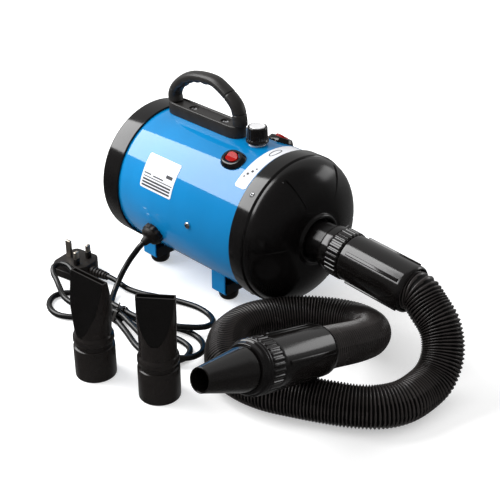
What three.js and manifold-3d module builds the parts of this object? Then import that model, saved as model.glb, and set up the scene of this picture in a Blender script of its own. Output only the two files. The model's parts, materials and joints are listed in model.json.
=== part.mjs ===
// Pet dryer: horizontal blower body, hose with hand nozzle, two loose flat nozzles, mains lead.
// Millimetres, +Z up, +X along the body axis towards the air outlet. Modelled with x = 0 at the
// rear edge of the front ring, then moved so the rigid pieces are centred over the origin.
import * as THREE from 'three';
import { mergeVertices } from 'three/addons/utils/BufferGeometryUtils.js';
import Module from 'manifold-3d';

// ---- driving dimensions ----
const SHELL_R = 88;
const SHELL_WALL = 1.2;
const RING_R = 90.5;
const AXIS_Z = 104.5;
const BODY_LENGTH = 200;
const FRONT_RING_LENGTH = 21.8;
const REAR_RING_LENGTH = 30;
const DOME_END_X = 54;
const COLLAR_R = 30;
const OUTLET_R = 23.5;
const GAP = 0.3;
const COUPLING_R = 27;
const COUPLING_DROOP = 3.5;
const COUPLING_PIVOT_X = 60;
const HOSE_R = 23;
const HOSE_BORE_R = 20.5;
const CORD_R = 3.5;
const NOZZLE_BASE_R = 22.8;
const NOZZLE_HEIGHT = 122;
const HANDLE_MID_X = -132;
const HANDLE_LENGTH = 128;
const HANDLE_TOP_Z = 256;
const CONTROL_X = -45;
const SWITCH_ANGLE = 26;
const FOOT_R = 12.5;
const FOOT_HEIGHT = 12;
const FOOT_Y = 42;
const BRACKET_LENGTH = 22.5;
const BRACKET_HALF_WIDTH = 59.5;
const FRONT_BRACKET_X = -51.5;
const REAR_BRACKET_X = -180.5;

const ROUND = 40;
const SMALL_ROUND = 16;

// ---- solid helpers ----
const wasm = await Module();
wasm.setup();

const group = new THREE.Group();
group.name = 'pet_dryer';

// Joins equal corners and drops the slivers that collapse at the poles of a lathe.
function weld(geometry) {
  const bare = geometry.clone();
  bare.deleteAttribute('normal');
  bare.deleteAttribute('uv');
  const joined = mergeVertices(bare, 1e-4);
  const index = joined.index.array;
  const kept = [];
  for (let i = 0; i < index.length; i += 3) {
    const [a, b, c] = [index[i], index[i + 1], index[i + 2]];
    if (a !== b && b !== c && c !== a) kept.push(a, b, c);
  }
  joined.setIndex(kept);
  return joined;
}

function signedVolume(geometry) {
  const index = geometry.index.array;
  const position = geometry.attributes.position;
  const a = new THREE.Vector3();
  const b = new THREE.Vector3();
  const c = new THREE.Vector3();
  let sum = 0;
  for (let i = 0; i < index.length; i += 3) {
    a.fromBufferAttribute(position, index[i]);
    b.fromBufferAttribute(position, index[i + 1]);
    c.fromBufferAttribute(position, index[i + 2]);
    sum += a.dot(b.cross(c));
  }
  return sum / 6;
}

function outward(geometry) {
  const solid = weld(geometry);
  if (signedVolume(solid) < 0) {
    const index = solid.index.array;
    for (let i = 0; i < index.length; i += 3) {
      [index[i], index[i + 1]] = [index[i + 1], index[i]];
    }
  }
  return solid;
}

function toManifold(geometry) {
  const solid = outward(geometry);
  return new wasm.Manifold(new wasm.Mesh({
    numProp: 3,
    vertProperties: new Float32Array(solid.attributes.position.array),
    triVerts: new Uint32Array(solid.index.array),
  }));
}

function fromManifold(manifold) {
  const mesh = manifold.getMesh();
  const geometry = new THREE.BufferGeometry();
  geometry.setAttribute('position', new THREE.BufferAttribute(new Float32Array(mesh.vertProperties), 3));
  geometry.setIndex(Array.from(mesh.triVerts));
  return geometry;
}

function cut(body, ...tools) {
  let result = toManifold(body);
  for (const tool of tools) result = result.subtract(toManifold(tool));
  return fromManifold(result);
}

function fuse(...pieces) {
  let result = toManifold(pieces[0]);
  for (const piece of pieces.slice(1)) result = result.add(toManifold(piece));
  return fromManifold(result);
}

function add(name, geometry, color) {
  const solid = outward(geometry).toNonIndexed();
  solid.computeVertexNormals();
  const mesh = new THREE.Mesh(solid, new THREE.MeshStandardMaterial({ color }));
  mesh.name = name;
  group.add(mesh);
}

// Turns a closed profile of [along, radius] pairs about the X axis at height z.
function latheX(profile, segments = ROUND, z = AXIS_Z) {
  const points = profile.map(([along, radius]) => new THREE.Vector2(radius, along));
  const geometry = new THREE.LatheGeometry(points, segments);
  geometry.rotateZ(-Math.PI / 2);
  geometry.translate(0, 0, z);
  return geometry;
}

// Turns a closed profile of [radius, height] pairs about the Z axis.
function latheZ(profile, segments = SMALL_ROUND) {
  const points = profile.map(([radius, height]) => new THREE.Vector2(radius, height));
  const geometry = new THREE.LatheGeometry(points, segments);
  geometry.rotateX(Math.PI / 2);
  return geometry;
}

function closed(profile) {
  return [...profile, profile[0]];
}

function arc(centreX, centreY, radiusX, radiusY, fromDeg, toDeg, steps) {
  const points = [];
  for (let i = 0; i <= steps; i += 1) {
    const angle = THREE.MathUtils.degToRad(fromDeg + ((toDeg - fromDeg) * i) / steps);
    points.push([centreX + radiusX * Math.cos(angle), centreY + radiusY * Math.sin(angle)]);
  }
  return points;
}

function cylinderZ(radius, bottom, top, segments = SMALL_ROUND) {
  return latheZ([[0, bottom], [radius, bottom], [radius, top], [0, top]], segments);
}

function tubeX(inner, outer, fromX, toX, segments = ROUND) {
  return latheX(closed([[fromX, inner], [fromX, outer], [toX, outer], [toX, inner]]), segments);
}

function box(sizeX, sizeY, sizeZ, x, y, z) {
  const geometry = new THREE.BoxGeometry(sizeX, sizeY, sizeZ);
  geometry.translate(x, y, z);
  return geometry;
}

// Places a shape built on the XY plane on the shell: angle runs from the top to the near side.
function onShell(geometry, x, angleDeg, lift = 0) {
  const angle = THREE.MathUtils.degToRad(angleDeg);
  geometry.translate(0, 0, SHELL_R + lift);
  geometry.rotateX(angle);
  geometry.translate(x, 0, AXIS_Z);
  return geometry;
}

// Joins equal rings of points into a skin; hollow skins close last ring to first.
function loft(rings, hollow = false) {
  const count = rings[0].length;
  const points = rings.flat();
  const index = [];
  const bands = hollow ? rings.length : rings.length - 1;
  for (let r = 0; r < bands; r += 1) {
    const here = r * count;
    const next = ((r + 1) % rings.length) * count;
    for (let i = 0; i < count; i += 1) {
      const j = (i + 1) % count;
      index.push(here + i, here + j, next + j, here + i, next + j, next + i);
    }
  }
  if (!hollow) {
    for (const [ring, flip] of [[0, true], [rings.length - 1, false]]) {
      const centre = new THREE.Vector3();
      for (const p of rings[ring]) centre.add(p);
      points.push(centre.divideScalar(count));
      const tip = points.length - 1;
      for (let i = 0; i < count; i += 1) {
        const a = ring * count + i;
        const b = ring * count + ((i + 1) % count);
        index.push(tip, flip ? b : a, flip ? a : b);
      }
    }
  }
  const geometry = new THREE.BufferGeometry().setFromPoints(points);
  geometry.setIndex(index);
  return geometry;
}

// One ring of a rounded-rectangle-like section; power 2 is an ellipse, larger is squarer.
function sectionRing(centre, axisA, axisB, halfA, halfB, power, count) {
  const ring = [];
  for (let i = 0; i < count; i += 1) {
    const angle = (2 * Math.PI * i) / count;
    const c = Math.cos(angle);
    const s = Math.sin(angle);
    const a = Math.sign(c) * Math.abs(c) ** (2 / power) * halfA;
    const b = Math.sign(s) * Math.abs(s) ** (2 / power) * halfB;
    ring.push(centre.clone().addScaledVector(axisA, a).addScaledVector(axisB, b));
  }
  return ring;
}

function circle(radius, sides, holeRadius = 0) {
  const shape = new THREE.Shape(arc(0, 0, radius, radius, 0, 360, sides).slice(0, -1)
    .map(([x, y]) => new THREE.Vector2(x, y)));
  if (holeRadius > 0) {
    shape.holes.push(new THREE.Path(arc(0, 0, holeRadius, holeRadius, 0, -360, sides).slice(0, -1)
      .map(([x, y]) => new THREE.Vector2(x, y))));
  }
  return shape;
}

function pipe(route, radius, sides, steps, boreRadius = 0) {
  const path = new THREE.CatmullRomCurve3(route.map((p) => new THREE.Vector3(...p)), false, 'centripetal');
  return new THREE.ExtrudeGeometry(circle(radius, sides, boreRadius), {
    steps, extrudePath: path, bevelEnabled: false,
  });
}

// ---- blower body ----
const SHELL_REAR_X = -BODY_LENGTH - REAR_RING_LENGTH * 0.6;
const SHELL_FRONT_X = FRONT_RING_LENGTH * 0.6;
const RING_BORE_R = SHELL_R + GAP;
const SIDE_SCREW_X = -71;
const SIDE_SCREW_ANGLE = 88;
const GLAND_X = -142;
const GLAND_ANGLE = 114;
const HANDLE_SCREW_X = [-155, -99];

const SWITCH_HALF_LENGTH = 10.6;
const SWITCH_HALF_WIDTH = 8.6;
const SWITCH_BEZEL_HALF_LENGTH = 15.4;
const SWITCH_BEZEL_HALF_WIDTH = 12.6;
const SWITCH_DEPTH = 24;

function shell() {
  const tube = tubeX(SHELL_R - SHELL_WALL, SHELL_R, SHELL_REAR_X, SHELL_FRONT_X);
  const drill = (radius, x, angle) => onShell(cylinderZ(radius, -8, 8), x, angle);
  const holes = [drill(4.3, CONTROL_X, 0), drill(7.3, GLAND_X, GLAND_ANGLE)];
  for (const side of [1, -1]) {
    const opening = new THREE.BoxGeometry(2 * SWITCH_HALF_LENGTH + 1, 2 * SWITCH_HALF_WIDTH + 1, 16);
    holes.push(onShell(opening, CONTROL_X, side * SWITCH_ANGLE));
    holes.push(drill(2.3, SIDE_SCREW_X, side * SIDE_SCREW_ANGLE));
  }
  for (const x of HANDLE_SCREW_X) holes.push(drill(2.3, x, 0));
  add('body_shell', cut(tube, ...holes), 0x1c8fe0);
}

const REAR_EDGE = 3;

function rearRing() {
  const back = -BODY_LENGTH - REAR_RING_LENGTH;
  const profile = closed([
    [-BODY_LENGTH, RING_BORE_R],
    [-BODY_LENGTH, RING_R - 0.6],
    [-BODY_LENGTH - 0.8, RING_R],
    ...arc(back + REAR_EDGE, RING_R - REAR_EDGE, REAR_EDGE, REAR_EDGE, 90, 180, 3),
    [back, 74],
    [SHELL_REAR_X - GAP, 74],
    [SHELL_REAR_X - GAP, RING_BORE_R],
  ]);
  add('rear_ring', latheX(profile), 0x111111);
}

const COVER_FACE_X = -BODY_LENGTH - REAR_RING_LENGTH - GAP;
const COVER_SLOTS_OUTER = 14;
const COVER_SLOTS_INNER = 7;

function intakeCover() {
  const rimR = 73.6;
  const rimInnerR = rimR - 3;
  const profile = [
    [COVER_FACE_X - 3, 0],
    [COVER_FACE_X - 2, 60],
    [COVER_FACE_X, rimInnerR],
    [COVER_FACE_X + 9, rimInnerR],
    [COVER_FACE_X + 9, rimR],
    [COVER_FACE_X, rimR],
    [COVER_FACE_X, 79],
    [COVER_FACE_X - 1.5, 80.5],
    [COVER_FACE_X - 4, 76],
    [COVER_FACE_X - 5, 60],
    [COVER_FACE_X - 6, 0],
  ];
  const slots = [];
  const slotRing = (count, innerR, outerR, width) => {
    for (let i = 0; i < count; i += 1) {
      const slot = box(12, outerR - innerR, width, COVER_FACE_X - 3, (outerR + innerR) / 2, 0);
      slot.rotateX((2 * Math.PI * (i + 0.5)) / count);
      slot.translate(0, 0, AXIS_Z);
      slots.push(slot);
    }
  };
  slotRing(COVER_SLOTS_OUTER, 42, 66, 5);
  slotRing(COVER_SLOTS_INNER, 18, 36, 5);
  add('intake_cover', cut(latheX(profile), ...slots), 0x141414);
}

function filterFoam() {
  const front = COVER_FACE_X + 8;
  const back = COVER_FACE_X + GAP;
  add('filter_foam', latheX([[back, 0], [back, 70.2], [front, 70.2], [front, 0]], 40), 0x30343a);
}

function frontRing() {
  const profile = closed([
    [0, RING_BORE_R],
    [0, RING_R - 0.6],
    [0.8, RING_R],
    [FRONT_RING_LENGTH - 2, RING_R],
    [FRONT_RING_LENGTH, RING_R - 2],
    [FRONT_RING_LENGTH, 84],
    [SHELL_FRONT_X + GAP, 84],
    [SHELL_FRONT_X + GAP, RING_BORE_R],
  ]);
  const sockets = RING_SCREW_ANGLES.map((angle) => onShell(cylinderZ(3.4, 0.6, 8, 12), RING_SCREW_X, angle));
  add('front_ring', cut(latheX(profile), ...sockets), 0x121212);
}

const RING_SCREW_X = 12;
const RING_SCREW_ANGLES = [45, -45, 135, -135];
const DOME_START_X = FRONT_RING_LENGTH + GAP;
const DOME_WALL = 2.4;

function frontDome() {
  const rise = DOME_END_X - DOME_START_X;
  const drop = RING_R - 2 - COLLAR_R;
  const outer = arc(DOME_START_X, COLLAR_R, rise, drop, 90, 0, 6);
  const inner = arc(DOME_START_X, COLLAR_R - DOME_WALL, rise - DOME_WALL, drop, 0, 90, 4);
  const spigotHole = OUTLET_R + GAP;
  const profile = closed([
    ...outer,
    [DOME_END_X + 3, COLLAR_R],
    [DOME_END_X + 4, COLLAR_R - 1.5],
    [DOME_END_X + 3, COLLAR_R - 3.5],
    [DOME_END_X - 4, COLLAR_R - 3.5],
    [DOME_END_X - 4, spigotHole],
    [DOME_END_X - 8, spigotHole],
    [DOME_END_X - 8, COLLAR_R - DOME_WALL],
    ...inner.slice(1),
    [DOME_START_X - 6, RING_R - 2 - DOME_WALL - 4.4],
    [DOME_START_X - 6, 83.7],
    [DOME_START_X, 83.7],
  ]);
  add('front_dome', latheX(profile), 0x0e0e0e);
}

const OUTLET_FRONT_X = 84;

function outletTube() {
  const profile = closed([
    [DOME_END_X - 14, OUTLET_R - 2],
    [DOME_END_X - 14, OUTLET_R + 3],
    [DOME_END_X - 8 - GAP, OUTLET_R + 3],
    [DOME_END_X - 8 - GAP, OUTLET_R],
    [OUTLET_FRONT_X, OUTLET_R],
    [OUTLET_FRONT_X, OUTLET_R - 2],
  ]);
  add('outlet_tube', latheX(profile, 28), 0x1a1a1a);
}

function screwHead(name, x, angle, lift, radius, height) {
  const head = latheZ([[0, 0], [radius, 0], [radius, height * 0.4], [radius * 0.7, height], [0, height]], 12);
  const slot = box(radius * 1.1, 0.7, height, 0, 0, height);
  add(name, onShell(cut(head, slot), x, angle, lift), 0xc9c9c9);
}

function ringScrews() {
  RING_SCREW_ANGLES.forEach((angle, i) => {
    screwHead(`ring_screw_${i + 1}`, RING_SCREW_X, angle, 0.6 + GAP, 3.1, 2.6);
  });
}

function sideScrews() {
  [1, -1].forEach((side, i) => {
    const head = latheZ([[0, -6], [2, -6], [2, GAP], [4.2, GAP], [4.2, 1], [2.6, 2.6], [0, 2.6]], 14);
    const slot = box(5, 0.9, 2, 0, 0, 2.6);
    add(`side_screw_${i + 1}`, onShell(cut(head, slot), SIDE_SCREW_X, side * SIDE_SCREW_ANGLE), 0xd0d0d0);
  });
}

// ---- controls on top ----
const KNOB_BOTTOM = 3;
const KNOB_HEIGHT = 19;
const KNOB_R = 11.8;
const KNOB_SKIRT_R = 13.6;
const KNOB_CAP_R = 9.4;

function speedKnob() {
  const top = KNOB_BOTTOM + KNOB_HEIGHT;
  const body = latheZ([
    [0, KNOB_BOTTOM],
    [KNOB_SKIRT_R, KNOB_BOTTOM],
    [KNOB_SKIRT_R - 0.5, KNOB_BOTTOM + 2.5],
    [KNOB_R + 0.6, KNOB_BOTTOM + 4],
    [KNOB_R, top - 1.5],
    [KNOB_R - 1, top],
    [0, top],
  ], 28);
  const bore = cylinderZ(3.3, 0, top - 6, 14);
  const seat = cylinderZ(KNOB_CAP_R + GAP, top - 0.9, top + 2, 28);
  add('speed_knob', onShell(cut(body, bore, seat), CONTROL_X, 0), 0x101010);
  const cap = latheZ([
    [0, top - 0.6],
    [KNOB_CAP_R, top - 0.6],
    [KNOB_CAP_R, top + 0.3],
    [KNOB_CAP_R - 0.6, top + 0.8],
    [0, top + 0.8],
  ], 28);
  add('knob_cap', onShell(cap, CONTROL_X, 0), 0xe8e8e8);
}

function knobWasher() {
  const washer = latheZ(closed([[4.5, GAP], [10.5, GAP], [10.5, 1.4], [6.5, 2.5], [4.5, 2.5]]), 24);
  add('knob_washer', cut(onShell(washer, CONTROL_X, 0), solidRod(SHELL_R + 0.2)), 0xd8d8d8);
}

// A plain rod about the body axis, used to hollow pieces that sit on the shell.
function solidRod(radius) {
  return latheX([[-260, 0], [-260, radius], [60, radius], [60, 0]], 80);
}

function speedControl() {
  const can = cylinderZ(12, -22, -8, 20);
  const bush = cylinderZ(4, -8.2, 0, 14);
  const shaft = cylinderZ(3, -1, KNOB_BOTTOM + KNOB_HEIGHT - 6.4, 14);
  add('speed_control', onShell(fuse(can, bush, shaft), CONTROL_X, 0), 0x8a8f94);
}

function ovalLoop(halfLength, halfWidth, z, count = 16) {
  const centre = new THREE.Vector3(0, 0, z);
  const alongX = new THREE.Vector3(1, 0, 0);
  const alongY = new THREE.Vector3(0, 1, 0);
  return sectionRing(centre, alongX, alongY, halfLength, halfWidth, 2.3, count);
}

const ROCKER_HALF_LENGTH = 8.6;
const ROCKER_HALF_WIDTH = 6.2;
const ROCKER_PIVOT = 4;
const ROCKER_TILT = 9;
const WELL_HALF_LENGTH = ROCKER_HALF_LENGTH + 0.9;
const WELL_HALF_WIDTH = ROCKER_HALF_WIDTH + 1.7;
const BEZEL_HEIGHT = 5.5;

function switchBezel(name, side) {
  const angle = side * SWITCH_ANGLE;
  const flare = loft([
    ovalLoop(SWITCH_BEZEL_HALF_LENGTH + 1, SWITCH_BEZEL_HALF_WIDTH + 1, -3),
    ovalLoop(SWITCH_BEZEL_HALF_LENGTH + 1, SWITCH_BEZEL_HALF_WIDTH + 1, 1.6),
    ovalLoop(SWITCH_BEZEL_HALF_LENGTH - 0.8, SWITCH_BEZEL_HALF_WIDTH - 1.2, BEZEL_HEIGHT - 0.6),
    ovalLoop(SWITCH_BEZEL_HALF_LENGTH - 2, SWITCH_BEZEL_HALF_WIDTH - 2.4, BEZEL_HEIGHT),
  ]);
  const skirt = cut(onShell(flare, CONTROL_X, angle), solidRod(SHELL_R + GAP));
  const block = box(2 * SWITCH_HALF_LENGTH, 2 * SWITCH_HALF_WIDTH, SWITCH_DEPTH, 0, 0, 2 - SWITCH_DEPTH / 2);
  const well = loft([
    ovalLoop(WELL_HALF_LENGTH - 1.3, WELL_HALF_WIDTH - 1.3, -9),
    ovalLoop(WELL_HALF_LENGTH, WELL_HALF_WIDTH, -3),
    ovalLoop(WELL_HALF_LENGTH, WELL_HALF_WIDTH, BEZEL_HEIGHT + 2),
  ]);
  add(name, cut(fuse(skirt, onShell(block, CONTROL_X, angle)), onShell(well, CONTROL_X, angle)), 0x0f0f0f);
}

// The rocker's two lands meet in a shallow V; at rest it leans away from the knob.
function rocker(name, side) {
  const half = ROCKER_HALF_WIDTH;
  const flank = [[4.8, -6], [half, 0], [half, 3.4], [half - 0.8, 3.8]];
  const outline = [...flank, [0, 1.6], ...flank.map(([y, z]) => [-y, z]).reverse()];
  const slab = new THREE.ExtrudeGeometry(new THREE.Shape(outline.map(([y, z]) => new THREE.Vector2(y, z))), {
    depth: 2 * ROCKER_HALF_LENGTH, bevelEnabled: false,
  });
  slab.translate(0, 0, -ROCKER_HALF_LENGTH);
  slab.rotateX(Math.PI / 2);
  slab.rotateZ(Math.PI / 2);
  const oval = loft([
    ovalLoop(ROCKER_HALF_LENGTH - 0.1, half, -8),
    ovalLoop(ROCKER_HALF_LENGTH - 0.1, half, 8),
  ]);
  const piece = fromManifold(toManifold(slab).intersect(toManifold(oval)));
  piece.rotateX(side * THREE.MathUtils.degToRad(ROCKER_TILT));
  add(name, onShell(piece, CONTROL_X, side * SWITCH_ANGLE, ROCKER_PIVOT), 0xd01818);
}

function curvedPatch(name, fromX, toX, fromDeg, toDeg, thickness, color) {
  const steps = Math.ceil((toDeg - fromDeg) / 6);
  const inner = SHELL_R + 0.15;
  const rings = [];
  for (let i = 0; i <= steps; i += 1) {
    const angle = THREE.MathUtils.degToRad(fromDeg + ((toDeg - fromDeg) * i) / steps);
    const out = new THREE.Vector3(0, -Math.sin(angle), Math.cos(angle));
    const at = (x, r) => new THREE.Vector3(x, 0, AXIS_Z).addScaledVector(out, r);
    rings.push([at(fromX, inner), at(toX, inner), at(toX, inner + thickness), at(fromX, inner + thickness)]);
  }
  add(name, loft(rings), color);
}

// ---- carry handle ----
const HANDLE_BASE_TOP = 207;
const HANDLE_HALF_WIDTH = 12;
const GRIP_HALF_WIDTH = 9;
const GRIP_HALF_THICKNESS = 5.7;

function boatOutline(halfLength, halfWidth) {
  const shape = new THREE.Shape();
  const nose = halfWidth * 1.6;
  shape.moveTo(-halfLength, 0);
  shape.quadraticCurveTo(-halfLength, halfWidth, -halfLength + nose, halfWidth);
  shape.lineTo(halfLength - nose, halfWidth);
  shape.quadraticCurveTo(halfLength, halfWidth, halfLength, 0);
  shape.quadraticCurveTo(halfLength, -halfWidth, halfLength - nose, -halfWidth);
  shape.lineTo(-halfLength + nose, -halfWidth);
  shape.quadraticCurveTo(-halfLength, -halfWidth, -halfLength, 0);
  return shape;
}

function handleBase() {
  const height = HANDLE_BASE_TOP - (AXIS_Z + SHELL_R - 4);
  const slab = new THREE.ExtrudeGeometry(boatOutline(HANDLE_LENGTH / 2, HANDLE_HALF_WIDTH), {
    depth: height, bevelEnabled: false, curveSegments: 5,
  });
  slab.translate(HANDLE_MID_X, 0, HANDLE_BASE_TOP - height);
  const tools = [solidRod(SHELL_R + GAP)];
  for (const x of HANDLE_SCREW_X) {
    const recess = cylinderZ(5.5, HANDLE_BASE_TOP - 5, HANDLE_BASE_TOP + 3, 16);
    recess.translate(x, 0, 0);
    const shank = cylinderZ(2.3, AXIS_Z + SHELL_R - 8, HANDLE_BASE_TOP, 12);
    shank.translate(x, 0, 0);
    tools.push(recess, shank);
  }
  add('handle_base', cut(slab, ...tools), 0x161616);
}

function handleScrews() {
  HANDLE_SCREW_X.forEach((x, i) => {
    const seat = HANDLE_BASE_TOP - 5 + GAP;
    const screw = latheZ([
      [0, AXIS_Z + SHELL_R - 8],
      [2, AXIS_Z + SHELL_R - 8],
      [2, seat],
      [4.4, seat],
      [4.2, seat + 1.4],
      [2.4, seat + 2.6],
      [0, seat + 2.6],
    ], 14);
    const slot = box(6, 0.9, 2, 0, 0, seat + 2.6);
    const piece = cut(screw, slot);
    piece.translate(x, 0, 0);
    add(`handle_screw_${i + 1}`, piece, 0xd0d0d0);
  });
}

function handleGrip() {
  const half = HANDLE_LENGTH / 2;
  const foot = HANDLE_BASE_TOP + GAP;
  const crown = HANDLE_TOP_Z - GRIP_HALF_THICKNESS;
  const route = [
    [-half + 8, foot], [-half + 6.5, foot + 7], [-half + 12.5, crown - 24], [-half + 37, crown - 6],
    [-half + 75, crown], [half - 38, crown - 3.5], [half - 11, crown - 21], [half - 6, foot + 5],
    [half - 6, foot],
  ].map(([x, z]) => new THREE.Vector3(HANDLE_MID_X + x, 0, z));
  const path = new THREE.CatmullRomCurve3(route, false, 'centripetal');
  const across = new THREE.Vector3(0, 1, 0);
  const rings = [];
  const steps = 20;
  for (let i = 0; i <= steps; i += 1) {
    const t = i / steps;
    const tangent = path.getTangentAt(t);
    if (t === 0) tangent.set(0, 0, 1);
    if (t === 1) tangent.set(0, 0, -1);
    const outwards = new THREE.Vector3().crossVectors(across, tangent).normalize();
    const halfThick = GRIP_HALF_THICKNESS + 2 * Math.abs(2 * t - 1) ** 3;
    rings.push(sectionRing(path.getPointAt(t), across, outwards, GRIP_HALF_WIDTH, halfThick, 2.5, 12));
  }
  add('handle_grip', loft(rings), 0x101010);
}

// ---- feet ----
const BRACKET_SHEET = 1.6;
const SADDLE_THICKNESS = 12;
const SADDLE_LIP = 1.6;
const BRACKET_LOW_Z = FOOT_HEIGHT + GAP;

// A flat strap under the shell with an upright tab at each end.
function footBracket(name, x) {
  const strap = box(
    BRACKET_LENGTH, 2 * BRACKET_HALF_WIDTH, BRACKET_SHEET,
    x, 0, BRACKET_LOW_Z + BRACKET_SHEET / 2,
  );
  const shellLowZ = AXIS_Z - Math.sqrt(SHELL_R ** 2 - BRACKET_HALF_WIDTH ** 2);
  const height = shellLowZ - BRACKET_LOW_Z + 3;
  const tabs = [1, -1].map((side) => box(
    BRACKET_LENGTH, BRACKET_SHEET, height,
    x, side * (BRACKET_HALF_WIDTH - BRACKET_SHEET / 2), BRACKET_LOW_Z + height / 2,
  ));
  add(name, cut(fuse(strap, ...tabs), solidRod(SHELL_R + GAP)), 0x2a8fe0);
}

// The rubber block between a strap and the shell, with lips down over the strap's long edges.
function footSaddle(name, x) {
  const halfWidth = BRACKET_HALF_WIDTH - BRACKET_SHEET - 3 * GAP;
  const height = BRACKET_SHEET + SADDLE_THICKNESS;
  const block = box(BRACKET_LENGTH + 2 * SADDLE_LIP, 2 * halfWidth, height, x, 0, BRACKET_LOW_Z + height / 2);
  const strapSlot = box(
    BRACKET_LENGTH + 2 * GAP, 2 * halfWidth + 2, BRACKET_SHEET + 2 * GAP,
    x, 0, BRACKET_LOW_Z + BRACKET_SHEET / 2,
  );
  add(name, cut(block, strapSlot, solidRod(SHELL_R + GAP)), 0x151515);
}

function rubberFoot(name, x, y) {
  const foot = latheZ([
    [0, 0],
    [FOOT_R - 3, 0],
    [FOOT_R - 0.8, 2],
    [FOOT_R, FOOT_HEIGHT],
    [0, FOOT_HEIGHT],
  ], 20);
  foot.translate(x, y, 0);
  add(name, foot, 0x141414);
}

// ---- cord gland, lead and plug ----
function cordGland() {
  const onGland = (geometry) => onShell(geometry, GLAND_X, GLAND_ANGLE, 1);
  const cap = onGland(latheZ([[0, -2], [14, -2], [14.5, 3], [13, 10], [9, 13.5], [0, 13.5]]));
  const neck = onGland(cylinderZ(6.8, -12, 6));
  const bore = onGland(cylinderZ(CORD_R + GAP, -14, 16, 12));
  add('cord_gland', cut(fuse(cut(cap, solidRod(SHELL_R + GAP)), neck), bore), 0x1b1714);
}

const PLUG_X = -226;
const PLUG_Y = -140;
const PLUG_YAW = 12;
const PLUG_HALF = 23;
const PLUG_THICK = 20;
const PIN_DEPTH = 5;

function onPlug(geometry) {
  geometry.rotateZ(THREE.MathUtils.degToRad(PLUG_YAW));
  geometry.translate(PLUG_X, PLUG_Y, 0.2);
  return geometry;
}

function plugBody() {
  const outline = new THREE.Shape([
    [-PLUG_HALF + 4, -PLUG_HALF], [PLUG_HALF - 9, -PLUG_HALF], [PLUG_HALF, -9],
    [PLUG_HALF, 9], [PLUG_HALF - 9, PLUG_HALF], [-PLUG_HALF + 4, PLUG_HALF],
    [-PLUG_HALF, PLUG_HALF - 4], [-PLUG_HALF, -PLUG_HALF + 4],
  ].map(([x, y]) => new THREE.Vector2(x, y)));
  const slab = new THREE.ExtrudeGeometry(outline, {
    depth: PLUG_THICK - 4, bevelThickness: 2, bevelSize: 2, bevelOffset: -2, bevelSegments: 1,
  });
  slab.translate(0, 0, 2);
  const tail = latheZ([[0, 0], [6.5, 0], [5, 30], [0, 30]], 16);
  tail.rotateY(Math.PI / 2);
  tail.translate(PLUG_HALF - 4, 0, PLUG_THICK / 2);
  const bore = cylinderZ(CORD_R + 2 * GAP, 12, 40, 12);
  bore.rotateY(Math.PI / 2);
  bore.translate(PLUG_HALF - 4, 0, PLUG_THICK / 2);
  const sockets = PLUG_PINS.map(([, x, y, length, width]) => (
    box(length + 0.4, width + 0.4, 2 * (PIN_DEPTH + GAP), x, y, PLUG_THICK)
  ));
  add('plug_body', onPlug(cut(fuse(slab, tail), bore, ...sockets)), 0x1c1917);
}

// Name, centre, section and height of each flat pin.
const PLUG_PINS = [
  ['plug_pin_earth', -13, 0, 8, 4, 22.7],
  ['plug_pin_live', 9, -11, 4, 6.4, 17.7],
  ['plug_pin_neutral', 9, 11, 4, 6.4, 17.7],
];

function plugPins() {
  for (const [name, x, y, length, width, height] of PLUG_PINS) {
    const pin = box(length, width, height + PIN_DEPTH, x, y, PLUG_THICK + (height - PIN_DEPTH) / 2);
    add(name, onPlug(pin), 0xb8b0a4);
  }
}

// Route of the mains lead: down from the gland, five passes through the tie, then to the plug.
const CORD_ROUTE = [
  [-142, -73.1, 72], [-142, -84, 67.1], [-142, -94.1, 62.6], [-144, -102, 57], [-148, -108, 48],
  [-152, -115, 37], [-153, -125, 25], [-152, -134, 14], [-148, -143, 7.5], [-139, -154, 4.6],
  [-120, -172, 4.6], [-98, -179.8, 6.3], [-70, -187, 4.6], [-40, -196, 4], [-12, -198, 4],
  [8, -190, 4], [16, -174, 4], [7, -157, 4], [-14, -153, 4], [-42, -160, 4], [-70, -168, 4.6],
  [-98, -172, 6.3], [-118, -186, 4.6], [-134, -206, 4], [-158, -221, 4], [-182, -216, 4],
  [-195, -199, 4], [-188, -181, 4], [-164, -170, 4], [-135, -164, 8], [-118, -163, 6.5],
  [-98, -164.2, 6.3], [-74, -155, 4.6], [-46, -143, 4], [-18, -134, 4], [6, -138, 4.6],
  [23, -153, 7], [26, -173, 10], [12, -190, 12], [-14, -193, 12], [-46, -185, 12], [-72, -179, 12],
  [-98, -175.9, 13.5], [-122, -184, 13], [-146, -200, 12.8], [-172, -200, 12.8], [-192, -192, 13.5],
  [-207, -186, 16], [-219, -182, 20], [-226, -175.5, 23.5], [-224, -167.5, 25], [-213, -163.5, 25],
  [-198, -166, 21.5], [-182, -168, 15.8], [-158, -169, 13], [-128, -168, 12.6],
  [-98, -168.1, 13.5], [-70, -164, 12.6], [-42, -152, 12.6], [-20, -138, 12.6], [-9, -120, 10],
  [-14, -103, 6], [-30, -93, 4], [-52, -91, 4], [-76, -97, 4], [-104, -109, 4], [-128, -120, 4],
  [-148, -125, 5], [-164, -127, 8.6], [-175, -129.2, 10.2], [-184.9, -131.3, 10.2], [-192.3, -132.8, 10.2],
];

function powerCord() {
  add('power_cord', pipe(CORD_ROUTE, CORD_R, 8, 70), 0x101010);
}

const TIE_X = -98;
const TIE_Y = -172;
const TIE_Z = 10.4;
const TIE_HALF_Y = 14.8;
const TIE_HALF_Z = 9.3;
const TIE_HALF_WIDTH = 2;
const TIE_STRAP = 1;

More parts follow.
